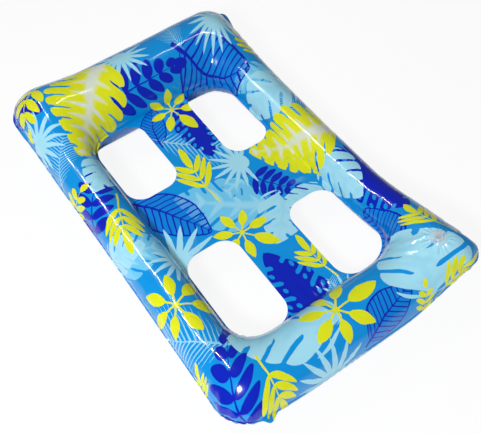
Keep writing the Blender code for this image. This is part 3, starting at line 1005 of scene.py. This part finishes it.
# %% Inks
AZURE = (0.0, 0.265, 0.68, 1)
DEEP_AZURE = (0.0, 0.16, 0.64, 1)
CYAN = (0.15, 0.53, 0.80, 1)
PALE = (0.34, 0.68, 0.82, 1)
NAVY = (0.0, 0.012, 0.44, 1)
YELLOW = (0.69, 0.73, 0.01, 1)
CREAM = (0.66, 0.72, 0.60, 1)
LAYERS = (
    # kind, how it is drawn, its proportions, and the ink of each mask with how well it covers
    ("cyan_split", split_leaf, (5, 0.6, 0.4, 0.36, 0.12, 0.4, 0.08), [(CYAN, 1), (PALE, 0.7)]),
    ("fern", comb, (14, 0.75, 0.46, 0.17), [(PALE, 0.8)]),
    ("outline", outlined, (11, 0.75, 0.27), [(DEEP_AZURE, 0.5), (NAVY, 1)]),
    ("frond", pinnate, (6, 0.35, 0.4, 0.33, 0.43, 0.0, 0.95), [(NAVY, 1)]),
    ("dotted", dotted, (5, 0.25, 0.2, 0.36, 0.13, 0.34, 0.12), [(NAVY, 1), (AZURE, 1)]),
    ("pale_split", split_leaf, (4, 0.5, 0.5, 0.44, 0.12, 0.36, 0.06), [(PALE, 1), (CYAN, 0.22)]),
    ("fan_palm", fan, (16, 2.4), [(PALE, 1)]),
    ("yellow_split", split_leaf, (8, 0.3, 0.4, 0.33, 0.13, 0.6, 0.1), [(YELLOW, 1), (CREAM, 1)]),
    ("sprig", pinnate, (6, 0.8, 0.6, 0.4, 0.47, 0.17, 0.64), [(YELLOW, 1)]),
    ("twig", pinnate, (4, 0.5, 0.5, 0.36, 0.4, 0.0, 0.85), [(YELLOW, 1)]),
    ("whorl", whorl, (7,), [(YELLOW, 1)]),
)


def ink_layers(tree):
    """The print's colour, from the ground up."""
    colour = AZURE
    for kind, drawing, proportions, inks in LAYERS:
        masks = drawing(*leaf_frame(tree, kind), *proportions)
        for mask, (ink, cover) in zip(masks, inks):
            colour = tree.mix(mask * cover, colour, ink)
    return colour


print("layers of ink:", len(LAYERS))

# %% The film's surface
FILM_ROUGHNESS = 0.18
WELD_ROUGHNESS = 0.32
ROUGHNESS_SPREAD = 0.1
FILM_SHEEN = 0.25  # the soft part of the shine, under the coat
FILM_COAT = 0.7
COAT_ROUGHNESS = 0.025
RIPPLE_SCALE = 26.0
RIPPLE_HEIGHT = 0.0006
RIPPLE_STRENGTH = 0.35
GRAIN_SCALE = 1400.0
GRAIN_SHARE = 0.007  # of the ripples' height
EMBOSS_DENSITY = 3600.0
EMBOSS_SHARE = 0.15
PLAIN_AZURE = (0.0, 0.20, 0.60, 1)
PLAIN_SHADE = (0.0, 0.16, 0.54, 1)
CLOUD_SCALE = 9.0


def object_place(tree):
    return tree.node("ShaderNodeTexCoord").outputs["Object"]


def vinyl_film(name, colour_of, fused=False):
    """Glossy film in a colour or a print, or two films fused."""
    film, tree, shader = new_surface(name)
    place = object_place(tree)
    ripple = tree.noise(place, RIPPLE_SCALE, 2.0)
    height = ripple + tree.noise(place, GRAIN_SCALE, 1.0) * GRAIN_SHARE
    if fused:
        x, y, _ = tree.split(place)
        crossed = ((x + y) * EMBOSS_DENSITY).math("SINE") * ((x - y) * EMBOSS_DENSITY).math("SINE")
        height = height + crossed * EMBOSS_SHARE
    roughness = WELD_ROUGHNESS if fused else FILM_ROUGHNESS
    looks = {
        "Base Color": colour_of(tree),
        "Normal": tree.bump(height, RIPPLE_HEIGHT, RIPPLE_STRENGTH),
        "Roughness": (ripple - 0.5) * ROUGHNESS_SPREAD + roughness,
        "Specular IOR Level": FILM_SHEEN,
        "Coat Weight": FILM_COAT,
        "Coat Roughness": COAT_ROUGHNESS,
    }
    tree.fill(shader, looks)
    return film


def plain_ground(tree):
    """One azure all over, with the slight clouding of a dyed film."""
    return tree.mix(tree.noise(object_place(tree), CLOUD_SCALE, 3.0), PLAIN_AZURE, PLAIN_SHADE)


PRINT = vinyl_film("leaf_print_film", ink_layers)
PLAIN = vinyl_film("plain_azure_film", plain_ground)
print("print:", len(PRINT.node_tree.nodes), "nodes")

# %% [markdown]
# ## The film round the valve
#
# The valve is welded to the upper film, and the weld draws the film in, so that fine
# ripples run out from it on all sides. The mesh gets smaller cells there, and each point
# moves along its normal by a wave of its angle about the valve's axis. Under the valve
# the film is cut away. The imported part's own joints say where that axis is.

# %% Ripples round the valve
JOINTS = {joint["name"]: joint for joint in frame["joints"]}
VALVE_AXIS = Vector(JOINTS["neck_pull"]["axis"]).normalized()
VALVE_MIDDLE = sum((Vector(corner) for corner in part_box("valve_cap")), Vector()) / 2
PUCKER_COUNT = 17
PUCKER_HEIGHT = 0.0009
PUCKER_START = 0.0150  # from the valve's axis
PUCKER_RISE = 0.004
PUCKER_REACH = 0.040
PUCKER_FADE = 0.022
PUCKER_CUTS = 2


def pucker(sheet):
    """Raises ripples that run out from the valve's weld, no two of them alike."""
    side = VALVE_AXIS.orthogonal().normalized()
    ahead = VALVE_AXIS.cross(side)
    bm = bmesh.new()
    bm.from_mesh(sheet.data)

    def is_near(vert):
        return (vert.co - VALVE_MIDDLE).length < PUCKER_REACH

    near = [edge for edge in bm.edges if is_near(edge.verts[0]) and is_near(edge.verts[1])]
    bmesh.ops.subdivide_edges(bm, edges=near, cuts=PUCKER_CUTS, use_grid_fill=True)
    bm.normal_update()
    for vert in filter(is_near, bm.verts):
        offset = vert.co - VALVE_MIDDLE
        turn = math.atan2(offset.dot(ahead), offset.dot(side))
        radius = math.hypot(offset.dot(ahead), offset.dot(side))
        fade = smooth_step((radius - PUCKER_START) / PUCKER_RISE)
        fade *= smooth_step((PUCKER_REACH - radius) / PUCKER_FADE)
        wave = math.sin(turn * PUCKER_COUNT + math.sin(turn * 5) * 2)
        vert.co += vert.normal * wave * fade * PUCKER_HEIGHT
    bm.to_mesh(sheet.data)
    bm.free()


# %% Make the films
HOLE_RADIUS = 0.0078
HOLE_SURROUND = 0.03  # no other edge of the film lies as near to the valve


def off_axis(point):
    """The arm from the valve's axis to a point."""
    offset = point - VALVE_MIDDLE
    return offset - VALVE_AXIS * offset.dot(VALVE_AXIS)


def cut_valve_hole(sheet):
    """Takes out the film under the valve, and draws the cut edge to a circle."""
    bm = bmesh.new()
    bm.from_mesh(sheet.data)

    def is_near(point):
        return (point - VALVE_MIDDLE).length < HOLE_SURROUND

    near = [face for face in bm.faces if is_near(face.calc_center_median())]
    inside = [face for face in near if off_axis(face.calc_center_median()).length < HOLE_RADIUS]
    bmesh.ops.delete(bm, geom=inside, context="FACES")
    for vert in bm.verts:
        if vert.is_boundary and is_near(vert.co):
            arm = off_axis(vert.co)
            vert.co += arm * (HOLE_RADIUS / arm.length - 1)
    bm.to_mesh(sheet.data)
    bm.free()
    print("cut away", len(inside), "faces for the valve")


tube_top = inflate(tube_flat("tube_upper_film", 1), 1, GAP / 2, PRINT)
pucker(tube_top)
cut_valve_hole(tube_top)
thicken(tube_top, FILM, -1)
tube_bottom = thicken(inflate(tube_flat("tube_lower_film", -1), -1, GAP / 2, PLAIN), FILM, -1)
print("upper film:", len(tube_top.data.polygons), "faces")

# %% [markdown]
# ## The panel
#
# The panel is the same film, welded flat and cut to a cross with wide round fillets,
# so that four holes are left for legs. Its outline is one big face. Cutting planes
# turn that into small cells, finer ones under the pleats. The cells take the slope of
# the weld plane and the creases where the tube's pull gathers the film, but keep still
# beside the weld.

# %% The panel's outline
PANEL_MARGIN = INNER_LIP + 2 * GAP
BAR_WIDTH = 0.123
BAR_SHIFT = 0.007
CROSSBAR_WIDTH = 0.173
CROSSBAR_SHIFT = 0.0196
CROSSBAR_SKEW = 0.0077
PANEL_FILLET = 0.040
FILLET_STEPS = 16


def fillet(centre, sign, start, end):
    """An arc of the outline, from one angle to another, mirrored into its quarter by sign."""
    points = []
    for step in range(FILLET_STEPS + 1):
        angle = math.radians(start + (end - start) * step / FILLET_STEPS)
        arm = Vector((math.cos(angle), -math.sin(angle)))
        points.append(centre + PANEL_FILLET * sign * arm)
    return points


def side_weld(x, sign_y):
    """How far across a long side's inner weld line is, at a place along it."""
    valve, head = (fan_centre(corner) for corner in ((0, 1) if sign_y > 0 else (3, 2)))
    along = head.lerp(valve, (x - head.x) / (valve.x - head.x))
    return along.y + sign_y * INNER_CORNER_RADIUS


def panel_quarter(sign_x, sign_y):
    """From the end of the long bar by the crossing to the end of the crossbar."""
    end_x = sign_x * (LENGTH / 2 - 2 * end_tube_radius(sign_x) - PANEL_MARGIN)
    bar_y = BAR_SHIFT + sign_y * BAR_WIDTH / 2
    cross_x = CROSSBAR_SHIFT + sign_y * CROSSBAR_SKEW + sign_x * CROSSBAR_WIDTH / 2
    end_y = side_weld(cross_x + sign_x * PANEL_FILLET, sign_y) - sign_y * PANEL_MARGIN
    sign = Vector((sign_x, sign_y))
    at_bar_end = Vector((end_x, bar_y)) + sign * PANEL_FILLET * Vector((-1, 1))
    at_crossing = Vector((cross_x, bar_y)) + sign * PANEL_FILLET
    at_cross_end = Vector((cross_x, end_y)) + sign * PANEL_FILLET * Vector((1, -1))
    return [
        *fillet(at_bar_end, sign, 0, 90),
        *fillet(at_crossing, sign, 90, 180),
        *fillet(at_cross_end, sign, 180, 270),
    ]


def panel_outline():
    outline = []
    for index, (sign_x, sign_y) in enumerate(CORNER_SIGNS):
        quarter = panel_quarter(sign_x, sign_y)
        outline += quarter[::-1] if index % 2 else quarter
    return outline


print("panel outline:", len(panel_outline()), "points")

# %% The panel
PANEL_CELL = 0.006
PANEL_WOBBLE = 0.5  # how uneven the panel is beside the tube
PLEATED = ((0.265, -0.010), (0.356, 0.070))  # the part of the panel that has finer cells
FINE_CUTS = 3
WELD_FADE = 0.010  # creases start this far from the weld


def off_weld(x, y):
    """How far the panel is free of the weld: nought beside it, one further in."""
    to_end = LENGTH / 2 - 2 * end_tube_radius(x) - abs(x)
    to_side = abs(side_weld(x, 1 if y > 0 else -1)) - abs(y)
    return smooth_step((min(to_end, to_side) - PANEL_MARGIN) / WELD_FADE)


def is_pleated(edge):
    x, y, _ = (edge.verts[0].co + edge.verts[1].co) / 2
    low, high = PLEATED
    return low[0] < x < high[0] and low[1] < y < high[1]


def panel_flat(name):
    """The panel's outline as one face, cut into small cells by lines across it."""
    bm = bmesh.new()
    corners = [bm.verts.new((*point, 0)) for point in panel_outline()]
    bm.faces.new(corners)
    for axis in range(2):
        low = min(vert.co[axis] for vert in corners)
        high = max(vert.co[axis] for vert in corners)
        normal = Vector((axis == 0, axis == 1, 0))
        cuts = int((high - low) / PANEL_CELL)
        for cut in range(1, cuts):
            place = normal * (low + (high - low) * cut / cuts)
            everything = bm.verts[:] + bm.edges[:] + bm.faces[:]
            bmesh.ops.bisect_plane(bm, geom=everything, plane_co=place, plane_no=normal)
    fine = [edge for edge in bm.edges if is_pleated(edge)]
    bmesh.ops.subdivide_edges(bm, edges=fine, cuts=FINE_CUTS, use_grid_fill=True)
    bm.verts.index_update()
    points = [(vert.co.x, vert.co.y) for vert in bm.verts]
    faces = [[vert.index for vert in face.verts] for face in bm.faces]
    bm.free()
    facts = []
    for point in points:
        folds = crease_height(Vector(point)) + pleat_height(Vector(point))
        crease = folds * off_weld(*point) + wobble(point, math.pi / 2) * PANEL_WOBBLE
        facts.append((0.0, 0.0, 0.0, lift(point), crease))
    return flat_mesh(name, points, faces, facts, points)


panel_top = thicken(inflate(panel_flat("panel_upper_sheet"), 1, GAP / 2, PRINT), FILM, 1)
panel_bottom = thicken(inflate(panel_flat("panel_lower_sheet"), -1, GAP / 2, PLAIN), FILM, -1)
for piece in (tube_top, panel_top):
    place_leaves(piece)
for piece in (tube_bottom, panel_bottom):
    piece.data.attributes.remove(piece.data.attributes["sheet_place"])
print("panel:", len(panel_top.data.polygons), "faces")

# %% [markdown]
# ## The welds
#
# Heat and pressure fuse the two films into a flat lip, a few millimetres wide, round the
# outside and between tube and panel. At the corners the lip waves up and down, and in
# a few places it is bunched and its cut edge sticks out in a small fin. The lip goes
# through the same rule as the films, with its turn at nought, so it stays in the weld
# plane.

# %% Weld lips
LIP_COLUMNS = 3
LIP_WAVE_HEIGHT = 0.0022
LIP_SIDE_WAVE = 0.0007
SHOWN_LIP = 0.0015  # most of the lip is folded under by the swelling tube
# The fins: station of each, how far along the ring it reaches, and how far out
FINS = ((2.55, 0.11, 0.020), (6.72, 0.05, 0.012), (4.5, 0.15, 0.004))


def lip_width(station):
    width = SHOWN_LIP
    for middle, reach, height in FINS:
        width += height * smooth_step(1 - abs(station - middle) / reach)
    return width


def weld_flat(name, is_outer):
    """A strip that runs round the ring, from the weld line away from the tube."""

    def section(station):
        outer, inner, cornerness = ring_section(station)
        way = (outer - inner).normalized()
        if is_outer:
            edge, width = outer, lip_width(station)
            place = sheet_place(outer, inner, 0.0)
            wave = LIP_WAVE_HEIGHT * cornerness + LIP_SIDE_WAVE
        else:
            edge, width, way = inner, PANEL_MARGIN, -way
            place = inner
            wave = 0.0
        for column in range(LIP_COLUMNS + 1):
            share = column / LIP_COLUMNS
            reach = way * width * share
            crease = wave * share * uneven_wave(station, OUTER_GATHERS)
            flat = edge + reach
            yield flat, place + reach, (0.0, 0.0, cornerness, lift(flat), crease)

    return ring_mesh(name, ring_stations(CORNER_STEPS * 2), LIP_COLUMNS, section, is_outer)


WELD = vinyl_film("fused_weld_film", ink_layers, fused=True)
outer_weld = thicken(inflate(weld_flat("outer_weld_lip", True), 1, 0.0, WELD), 2 * FILM, 0)
inner_weld = thicken(inflate(weld_flat("inner_weld_lip", False), 1, 0.0, WELD), 2 * FILM, 0)
for piece in (outer_weld, inner_weld):
    place_leaves(piece)
print("outer lip:", len(outer_weld.data.polygons), "faces")

# %% [markdown]
# ## The valve
#
# A push-in valve is one moulding of soft clear vinyl. Its flange is welded to the film,
# the neck can be pressed in or pulled out, and a plug on a strap closes it. All of it is
# drawn in one frame, upright about the valve's axis, and then put in its place. The
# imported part's joints say where that axis and the fold of the strap are.

# %% The valve's frame
HINGE_REACH = 0.0132
COLLAR_TOP = 0.0020
RIM_THICKNESS = 0.0010
RIM_LOW = COLLAR_TOP + GAP
RIM_TOP = RIM_LOW + RIM_THICKNESS
CAP_LOW = RIM_TOP + GAP


def valve_frame():
    """X towards the fold of the strap, Z along the valve's axis, and the origin at the film."""
    side = Vector(JOINTS["cap_fold"]["axis"]).normalized()
    ahead = side.cross(VALVE_AXIS).normalized()
    fold = Vector(JOINTS["cap_fold"]["pos_m"])
    origin = fold - ahead * HINGE_REACH - VALVE_AXIS * (CAP_LOW - GAP / 2)
    axes = Matrix((ahead, VALVE_AXIS.cross(ahead), VALVE_AXIS)).transposed()
    return Matrix.LocRotScale(origin, axes, None)


VALVE = valve_frame()
print("valve at", [round(value, 4) for value in VALVE.translation])

# %% [markdown]
# ## Clear vinyl
#
# The moulding is see-through with a slight milkiness and a soft shine. Fine turning
# marks from the mould run round it, as rings in the bump about the valve's middle.

# %% Clear vinyl
CLEAR_COLOUR = (0.88, 0.96, 1.0, 1)
MILKY_COLOUR = (0.66, 0.88, 0.96, 1)
MILK_SCALE = 220.0
CLEAR_COVER = 0.28  # how much the film behind is veiled, seen square on
EDGE_COVER = 0.5  # and how much more where the vinyl is seen edge on
EDGE_BLEND = 0.35
CLEAR_ROUGHNESS = 0.08
CLEAR_SPREAD = 0.12
CLEAR_COAT_ROUGHNESS = 0.04
MARK_SPACING = 0.0011
MARK_HEIGHT = 0.00015
MARK_STRENGTH = 0.5


def clear_vinyl(name):
    clear, tree, shader = new_surface(name)
    place = object_place(tree)
    from_middle = {0: place, 1: VALVE.translation}
    offset = tree.node("ShaderNodeVectorMath", from_middle, operation="SUBTRACT").outputs[0]
    distance = tree.node("ShaderNodeVectorMath", {0: offset}, operation="LENGTH").outputs["Value"]
    marks = (Value(tree, distance) * (2 * math.pi / MARK_SPACING)).math("SINE")
    uneven = tree.noise(place, MILK_SCALE, 3.0)
    edge = tree.node("ShaderNodeLayerWeight", {"Blend": EDGE_BLEND}).outputs["Facing"]
    looks = {
        "Normal": tree.bump(marks + uneven, MARK_HEIGHT, MARK_STRENGTH),
        "Roughness": uneven * CLEAR_SPREAD + CLEAR_ROUGHNESS,
        "Base Color": tree.mix(uneven, CLEAR_COLOUR, MILKY_COLOUR),
        "Alpha": Value(tree, edge) * EDGE_COVER + CLEAR_COVER,
        "Coat Weight": 1.0,
        "Coat Roughness": CLEAR_COAT_ROUGHNESS,
    }
    tree.fill(shader, looks)
    return clear


CLEAR = clear_vinyl("clear_vinyl")
print("clear vinyl:", len(CLEAR.node_tree.nodes), "nodes")

# %% [markdown]
# ## Turned parts and the flange
#
# Round parts could be cylinders joined together, but a profile spun round the axis
# gives every rounding and step in one closed skin. The flange is a flat plate at
# first. It is then bent to the film under it, by casting a ray from each of its points
# down to the film, as the real one takes the tube's curve when it is blown up.

# %% Turning and placing
TURN_STEPS = 72
SHARP_EDGE = math.radians(35)


def turned_mesh(profile):
    """A closed solid spun round Z from (radius, height) points."""
    bm = bmesh.new()
    points = [bm.verts.new((radius, 0, height)) for radius, height in profile]
    edges = [bm.edges.new(pair) for pair in zip(points, points[1:])]
    if profile[0][0] > 0:
        edges.append(bm.edges.new((points[-1], points[0])))
    turn = {"axis": (0, 0, 1), "cent": (0, 0, 0), "angle": 2 * math.pi, "steps": TURN_STEPS}
    bmesh.ops.spin(bm, geom=points + edges, **turn)
    bmesh.ops.remove_doubles(bm, verts=bm.verts, dist=TINY)
    bmesh.ops.recalc_face_normals(bm, faces=bm.faces)
    return bm


def round_over(radius, height, rounding):
    """Three points round the outer top edge of a profile."""
    cut = rounding * 0.3  # what an arc takes off a square corner
    return [(radius - rounding, height), (radius - cut, height - cut), (radius, height - rounding)]


def valve_piece(name, bm):
    """Puts a mesh made in the valve's frame in its place."""
    mesh = bpy.data.meshes.new(name)
    bm.transform(VALVE)
    bm.to_mesh(mesh)
    bm.free()
    mesh.materials.append(CLEAR)
    mesh.shade_smooth()
    mesh.set_sharp_from_angle(angle=SHARP_EDGE)
    return add_object(name, mesh)


print("turned parts get", TURN_STEPS, "steps to the round")

# %% Flange, bent to the film
FLANGE_RADIUS = 0.0162
FLANGE_THICKNESS = 0.0008
COLLAR_RADIUS = 0.0092
COLLAR_ROUNDING = 0.0007
NECK_RADIUS = 0.0060
SLEEVE_WALL = 0.0012
SLEEVE_DEPTH = 0.0050
SLEEVE_BORE = NECK_RADIUS + GAP
SLEEVE_RADIUS = SLEEVE_BORE + SLEEVE_WALL
PLATE_STEPS = 5
FILM_REACH = 0.04  # no piece of the valve reaches further along the film
RAY_START = 0.02


def bend_to_film(bm):
    """Moves the points of the flange's plate by the height of the film, but not the collar's."""
    film = bmesh.new()
    film.from_mesh(tube_top.data)
    far = [vert for vert in film.verts if (vert.co - VALVE.translation).length > FILM_REACH]
    bmesh.ops.delete(film, geom=far, context="VERTS")
    film.transform(VALVE.inverted())
    from_above = BVHTree.FromBMesh(film)
    film.free()
    down = Vector((0, 0, -1))
    for vert in bm.verts:
        x, y, z = vert.co
        if math.hypot(x, y) > COLLAR_RADIUS - GAP and z < COLLAR_TOP / 2 + GAP:
            hit = from_above.ray_cast(Vector((x, y, RAY_START)), down)[0]
            if hit:
                vert.co.z += hit.z


def make_flange():
    steps = [
        COLLAR_RADIUS + (FLANGE_RADIUS - COLLAR_RADIUS) * step / PLATE_STEPS
        for step in range(PLATE_STEPS + 1)
    ]
    plate_top = GAP + FLANGE_THICKNESS
    profile = [
        (SLEEVE_BORE, COLLAR_TOP - COLLAR_ROUNDING / 2),
        (SLEEVE_BORE + COLLAR_ROUNDING / 2, COLLAR_TOP),
        *round_over(COLLAR_RADIUS, COLLAR_TOP, COLLAR_ROUNDING)[:2],
        *[(radius, plate_top) for radius in steps[:-1]],
        (FLANGE_RADIUS - FLANGE_THICKNESS / 4, plate_top),
        (FLANGE_RADIUS, plate_top - FLANGE_THICKNESS / 4),
        *[(radius, GAP) for radius in steps[::-1]],
        (SLEEVE_RADIUS, GAP / 2),
        (SLEEVE_RADIUS, -SLEEVE_DEPTH),
        (SLEEVE_BORE, -SLEEVE_DEPTH),
    ]
    bm = turned_mesh(profile)
    bend_to_film(bm)
    return valve_piece("valve_flange_disc", bm)


flange = make_flange()
print("flange:", len(flange.data.polygons), "faces")

# %% [markdown]
# ## Neck, cap and strap
#
# The neck is a short tube that slides in the flange's sleeve, with a bead that stops
# it. The cap's plug closes it, a strap keeps the cap on it, and a thin flap hangs at its
# foot. The cap has small grip ribs round its edge. They repeat, so Geometry Nodes set
# one rib on each point of a circle. One cell later the plain cap and its ribs are a
# single piece, because they move together.

# %% Grip ribs
CAP_RADIUS = 0.0088
CAP_THICKNESS = 0.0011
CAP_ROUNDING = 0.00035
CAP_CROWN = 0.0007
RIB_COUNT = 36
RIB_RADIUS = 0.0004
RIB_HEIGHT = CAP_THICKNESS * 0.8
RIB_SIDES = 8


def rib_group():
    sizes = [(name, "Float") for name in ("Radius", "Rib size", "Rib height", "Level")]
    tree, given = new_group("Grip ribs", [("Count", "Int"), *sizes, ("Surface", "Material")])
    circle = tree.node("GeometryNodeMeshCircle", {"Vertices": given["Count"], "Radius": given["Radius"]})
    shape = {"Vertices": RIB_SIDES, "Radius": given["Rib size"], "Depth": given["Rib height"]}
    rib = tree.node("GeometryNodeMeshCylinder", shape, fill_type="NGON")
    placing = {"Points": circle.outputs["Mesh"], "Instance": rib.outputs["Mesh"]}
    ribs = tree.node("GeometryNodeInstanceOnPoints", placing)
    up = tree.join(0.0, 0.0, given["Level"])
    raised = tree.node("GeometryNodeTransform", {"Geometry": ribs.outputs[0], "Translation": up})
    return end_group(tree, raised.outputs[0], given["Surface"])


def make_ribs():
    maker = add_object("cap_ribs", bpy.data.meshes.new("cap_ribs"))
    inputs = {
        "Count": RIB_COUNT,
        "Radius": CAP_RADIUS - GAP,
        "Rib size": RIB_RADIUS,
        "Rib height": RIB_HEIGHT,
        "Level": CAP_LOW + CAP_THICKNESS / 2,
        "Surface": CLEAR,
    }
    return run_nodes(maker, rib_group(), inputs)


ribs = make_ribs()
print("ribs:", len(ribs.data.polygons), "faces")

# %% Cap with its plug
NECK_WALL = 0.0013
NECK_BORE = NECK_RADIUS - NECK_WALL
PLUG_CLEARANCE = 0.0004
PLUG_RADIUS = NECK_BORE - PLUG_CLEARANCE
PLUG_LENGTH = 0.0046
PLUG_WALL = 0.0014
PLUG_TAPER = 0.0006
TAPER_LENGTH = 0.0015
PLUG_HOLLOW = 0.0038
CROWN_STEPS = 6


def make_cap():
    top = CAP_LOW + CAP_THICKNESS
    foot = CAP_LOW - PLUG_LENGTH
    hollow = PLUG_RADIUS - PLUG_TAPER - PLUG_WALL
    shares = [step / CROWN_STEPS for step in range(CROWN_STEPS)]
    flat = CAP_RADIUS - CAP_ROUNDING
    profile = [
        *[(share * flat, top + CAP_CROWN * (1 - share**2)) for share in shares],
        *round_over(CAP_RADIUS, top, CAP_ROUNDING),
        (CAP_RADIUS, CAP_LOW + CAP_ROUNDING),
        (flat, CAP_LOW),
        (PLUG_RADIUS, CAP_LOW),
        (PLUG_RADIUS, foot + TAPER_LENGTH),
        (PLUG_RADIUS - PLUG_TAPER, foot),
        (hollow, foot),
        (hollow, foot + PLUG_HOLLOW),
        (0, foot + PLUG_HOLLOW),
    ]
    bm = turned_mesh(profile)
    bm.from_mesh(ribs.data)
    bpy.data.objects.remove(ribs)
    return valve_piece("valve_cap_plug", bm)


cap = make_cap()
print("cap:", len(cap.data.polygons), "faces")

# %% Neck, strap and flap
RIM_RADIUS = 0.0088
MOUTH_ROUNDING = 0.0003
NECK_TRAVEL = 0.0110
STOP_BEAD = 0.0012
BEAD_ROUNDING = 0.0003
STRAP_WIDTH = 0.0050
STRAP_THICKNESS = 0.0009
STRAP_ROUNDING = 0.0003
FLAP_OVERLAP = 0.0006
FLAP_THICKNESS = 0.0004
FLAP_TAB_WIDTH = 0.0036
BEAD_TOP = -SLEEVE_DEPTH - GAP - NECK_TRAVEL
NECK_FOOT = BEAD_TOP - STOP_BEAD
BEVEL_STEPS = 3


def add_block(bm, low, high, rounding=0.0):
    """A box between two corners, its edges rounded over."""
    low, high = Vector(low), Vector(high)
    place = Matrix.LocRotScale((low + high) / 2, None, high - low)
    made = bmesh.ops.create_cube(bm, matrix=place)["verts"]
    if rounding:
        edges = {edge for vert in made for edge in vert.link_edges}
        bmesh.ops.bevel(bm, geom=list(edges), offset=rounding, segments=BEVEL_STEPS, affect="EDGES")


def make_neck():
    profile = [
        (NECK_BORE + MOUTH_ROUNDING, RIM_TOP),
        *round_over(RIM_RADIUS, RIM_TOP, MOUTH_ROUNDING),
        (RIM_RADIUS, RIM_LOW),
        (NECK_RADIUS, RIM_LOW),
        (NECK_RADIUS, BEAD_TOP),
        (NECK_RADIUS + STOP_BEAD, BEAD_TOP - BEAD_ROUNDING),
        (NECK_RADIUS + STOP_BEAD, NECK_FOOT + BEAD_ROUNDING),
        (NECK_RADIUS, NECK_FOOT),
        (NECK_BORE, NECK_FOOT),
        (NECK_BORE, RIM_TOP - MOUTH_ROUNDING),
    ]
    bm = turned_mesh(profile)
    low = (RIM_RADIUS - GAP, -STRAP_WIDTH / 2, RIM_LOW)
    add_block(bm, low, (HINGE_REACH, STRAP_WIDTH / 2, RIM_TOP), STRAP_ROUNDING)
    return valve_piece("valve_neck_tube", bm)


def make_strap():
    bm = bmesh.new()
    low = (CAP_RADIUS + GAP / 3, -STRAP_WIDTH / 2, CAP_LOW)
    high = (HINGE_REACH, STRAP_WIDTH / 2, CAP_LOW + STRAP_THICKNESS)
    add_block(bm, low, high, STRAP_ROUNDING)
    return valve_piece("valve_cap_strap", bm)


def make_flap():
    low = NECK_FOOT - GAP - FLAP_THICKNESS
    top = low + FLAP_THICKNESS
    radius = NECK_BORE + FLAP_OVERLAP
    bm = turned_mesh([(0, low), (radius, low), (radius, top), (0, top)])
    add_block(bm, (NECK_BORE, -FLAP_TAB_WIDTH / 2, low), (NECK_RADIUS, FLAP_TAB_WIDTH / 2, top))
    return valve_piece("valve_check_flap", bm)


neck = make_neck()
strap = make_strap()
flap = make_flap()
print("faces:", {piece.name: len(piece.data.polygons) for piece in (neck, strap, flap)})

# %% [markdown]
# ## Which piece moves with what
#
# Each piece rides on a body of the CAD part and stands for its node, which is hidden.
# The area of the panel's outline is worked out as well.

# %% Riding and replacing
PIECES = (
    # piece, the node that it stands for, its body, its finish in the record
    (tube_top, "tube_top_film", "float", "printed_film_top"),
    (tube_bottom, "tube_bottom_film", "float", "printed_film_base"),
    (panel_top, "panel_top_sheet", "float", "printed_film_top"),
    (panel_bottom, "panel_bottom_sheet", "float", "printed_film_base"),
    (outer_weld, "outer_weld_seam", "float", "fused_weld"),
    (inner_weld, "inner_weld_seam", "float", "fused_weld"),
    (flange, "valve_flange", "float", "clear_valve_plastic"),
    (neck, "valve_neck", "neck", "clear_valve_plastic"),
    (cap, "valve_cap", "cap", "clear_valve_plastic"),
    (strap, "cap_strap", "cap", "clear_valve_plastic"),
    (flap, "check_flap", "flap", "clear_valve_plastic"),
)


def off_cad_box(piece, node):
    """The largest distance between the sides of a piece's box and those of its node's."""
    places = read_all(piece.data.vertices, "co", np.float32, 3).reshape(-1, 3)
    sides = np.array([places.min(0), places.max(0)]) - np.array(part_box(node))
    return np.abs(sides).max()


for piece, node, body, finish in PIECES:
    print(piece.name, "is within", round(off_cad_box(piece, node) * 1000, 1), "mm of the CAD box")
    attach(piece, body)
    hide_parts(node)


def outline_area(outline):
    pairs = zip(outline, outline[1:] + outline[:1])
    return abs(sum(a.x * b.y - b.x * a.y for a, b in pairs)) / 2


panel_area = outline_area(panel_outline())
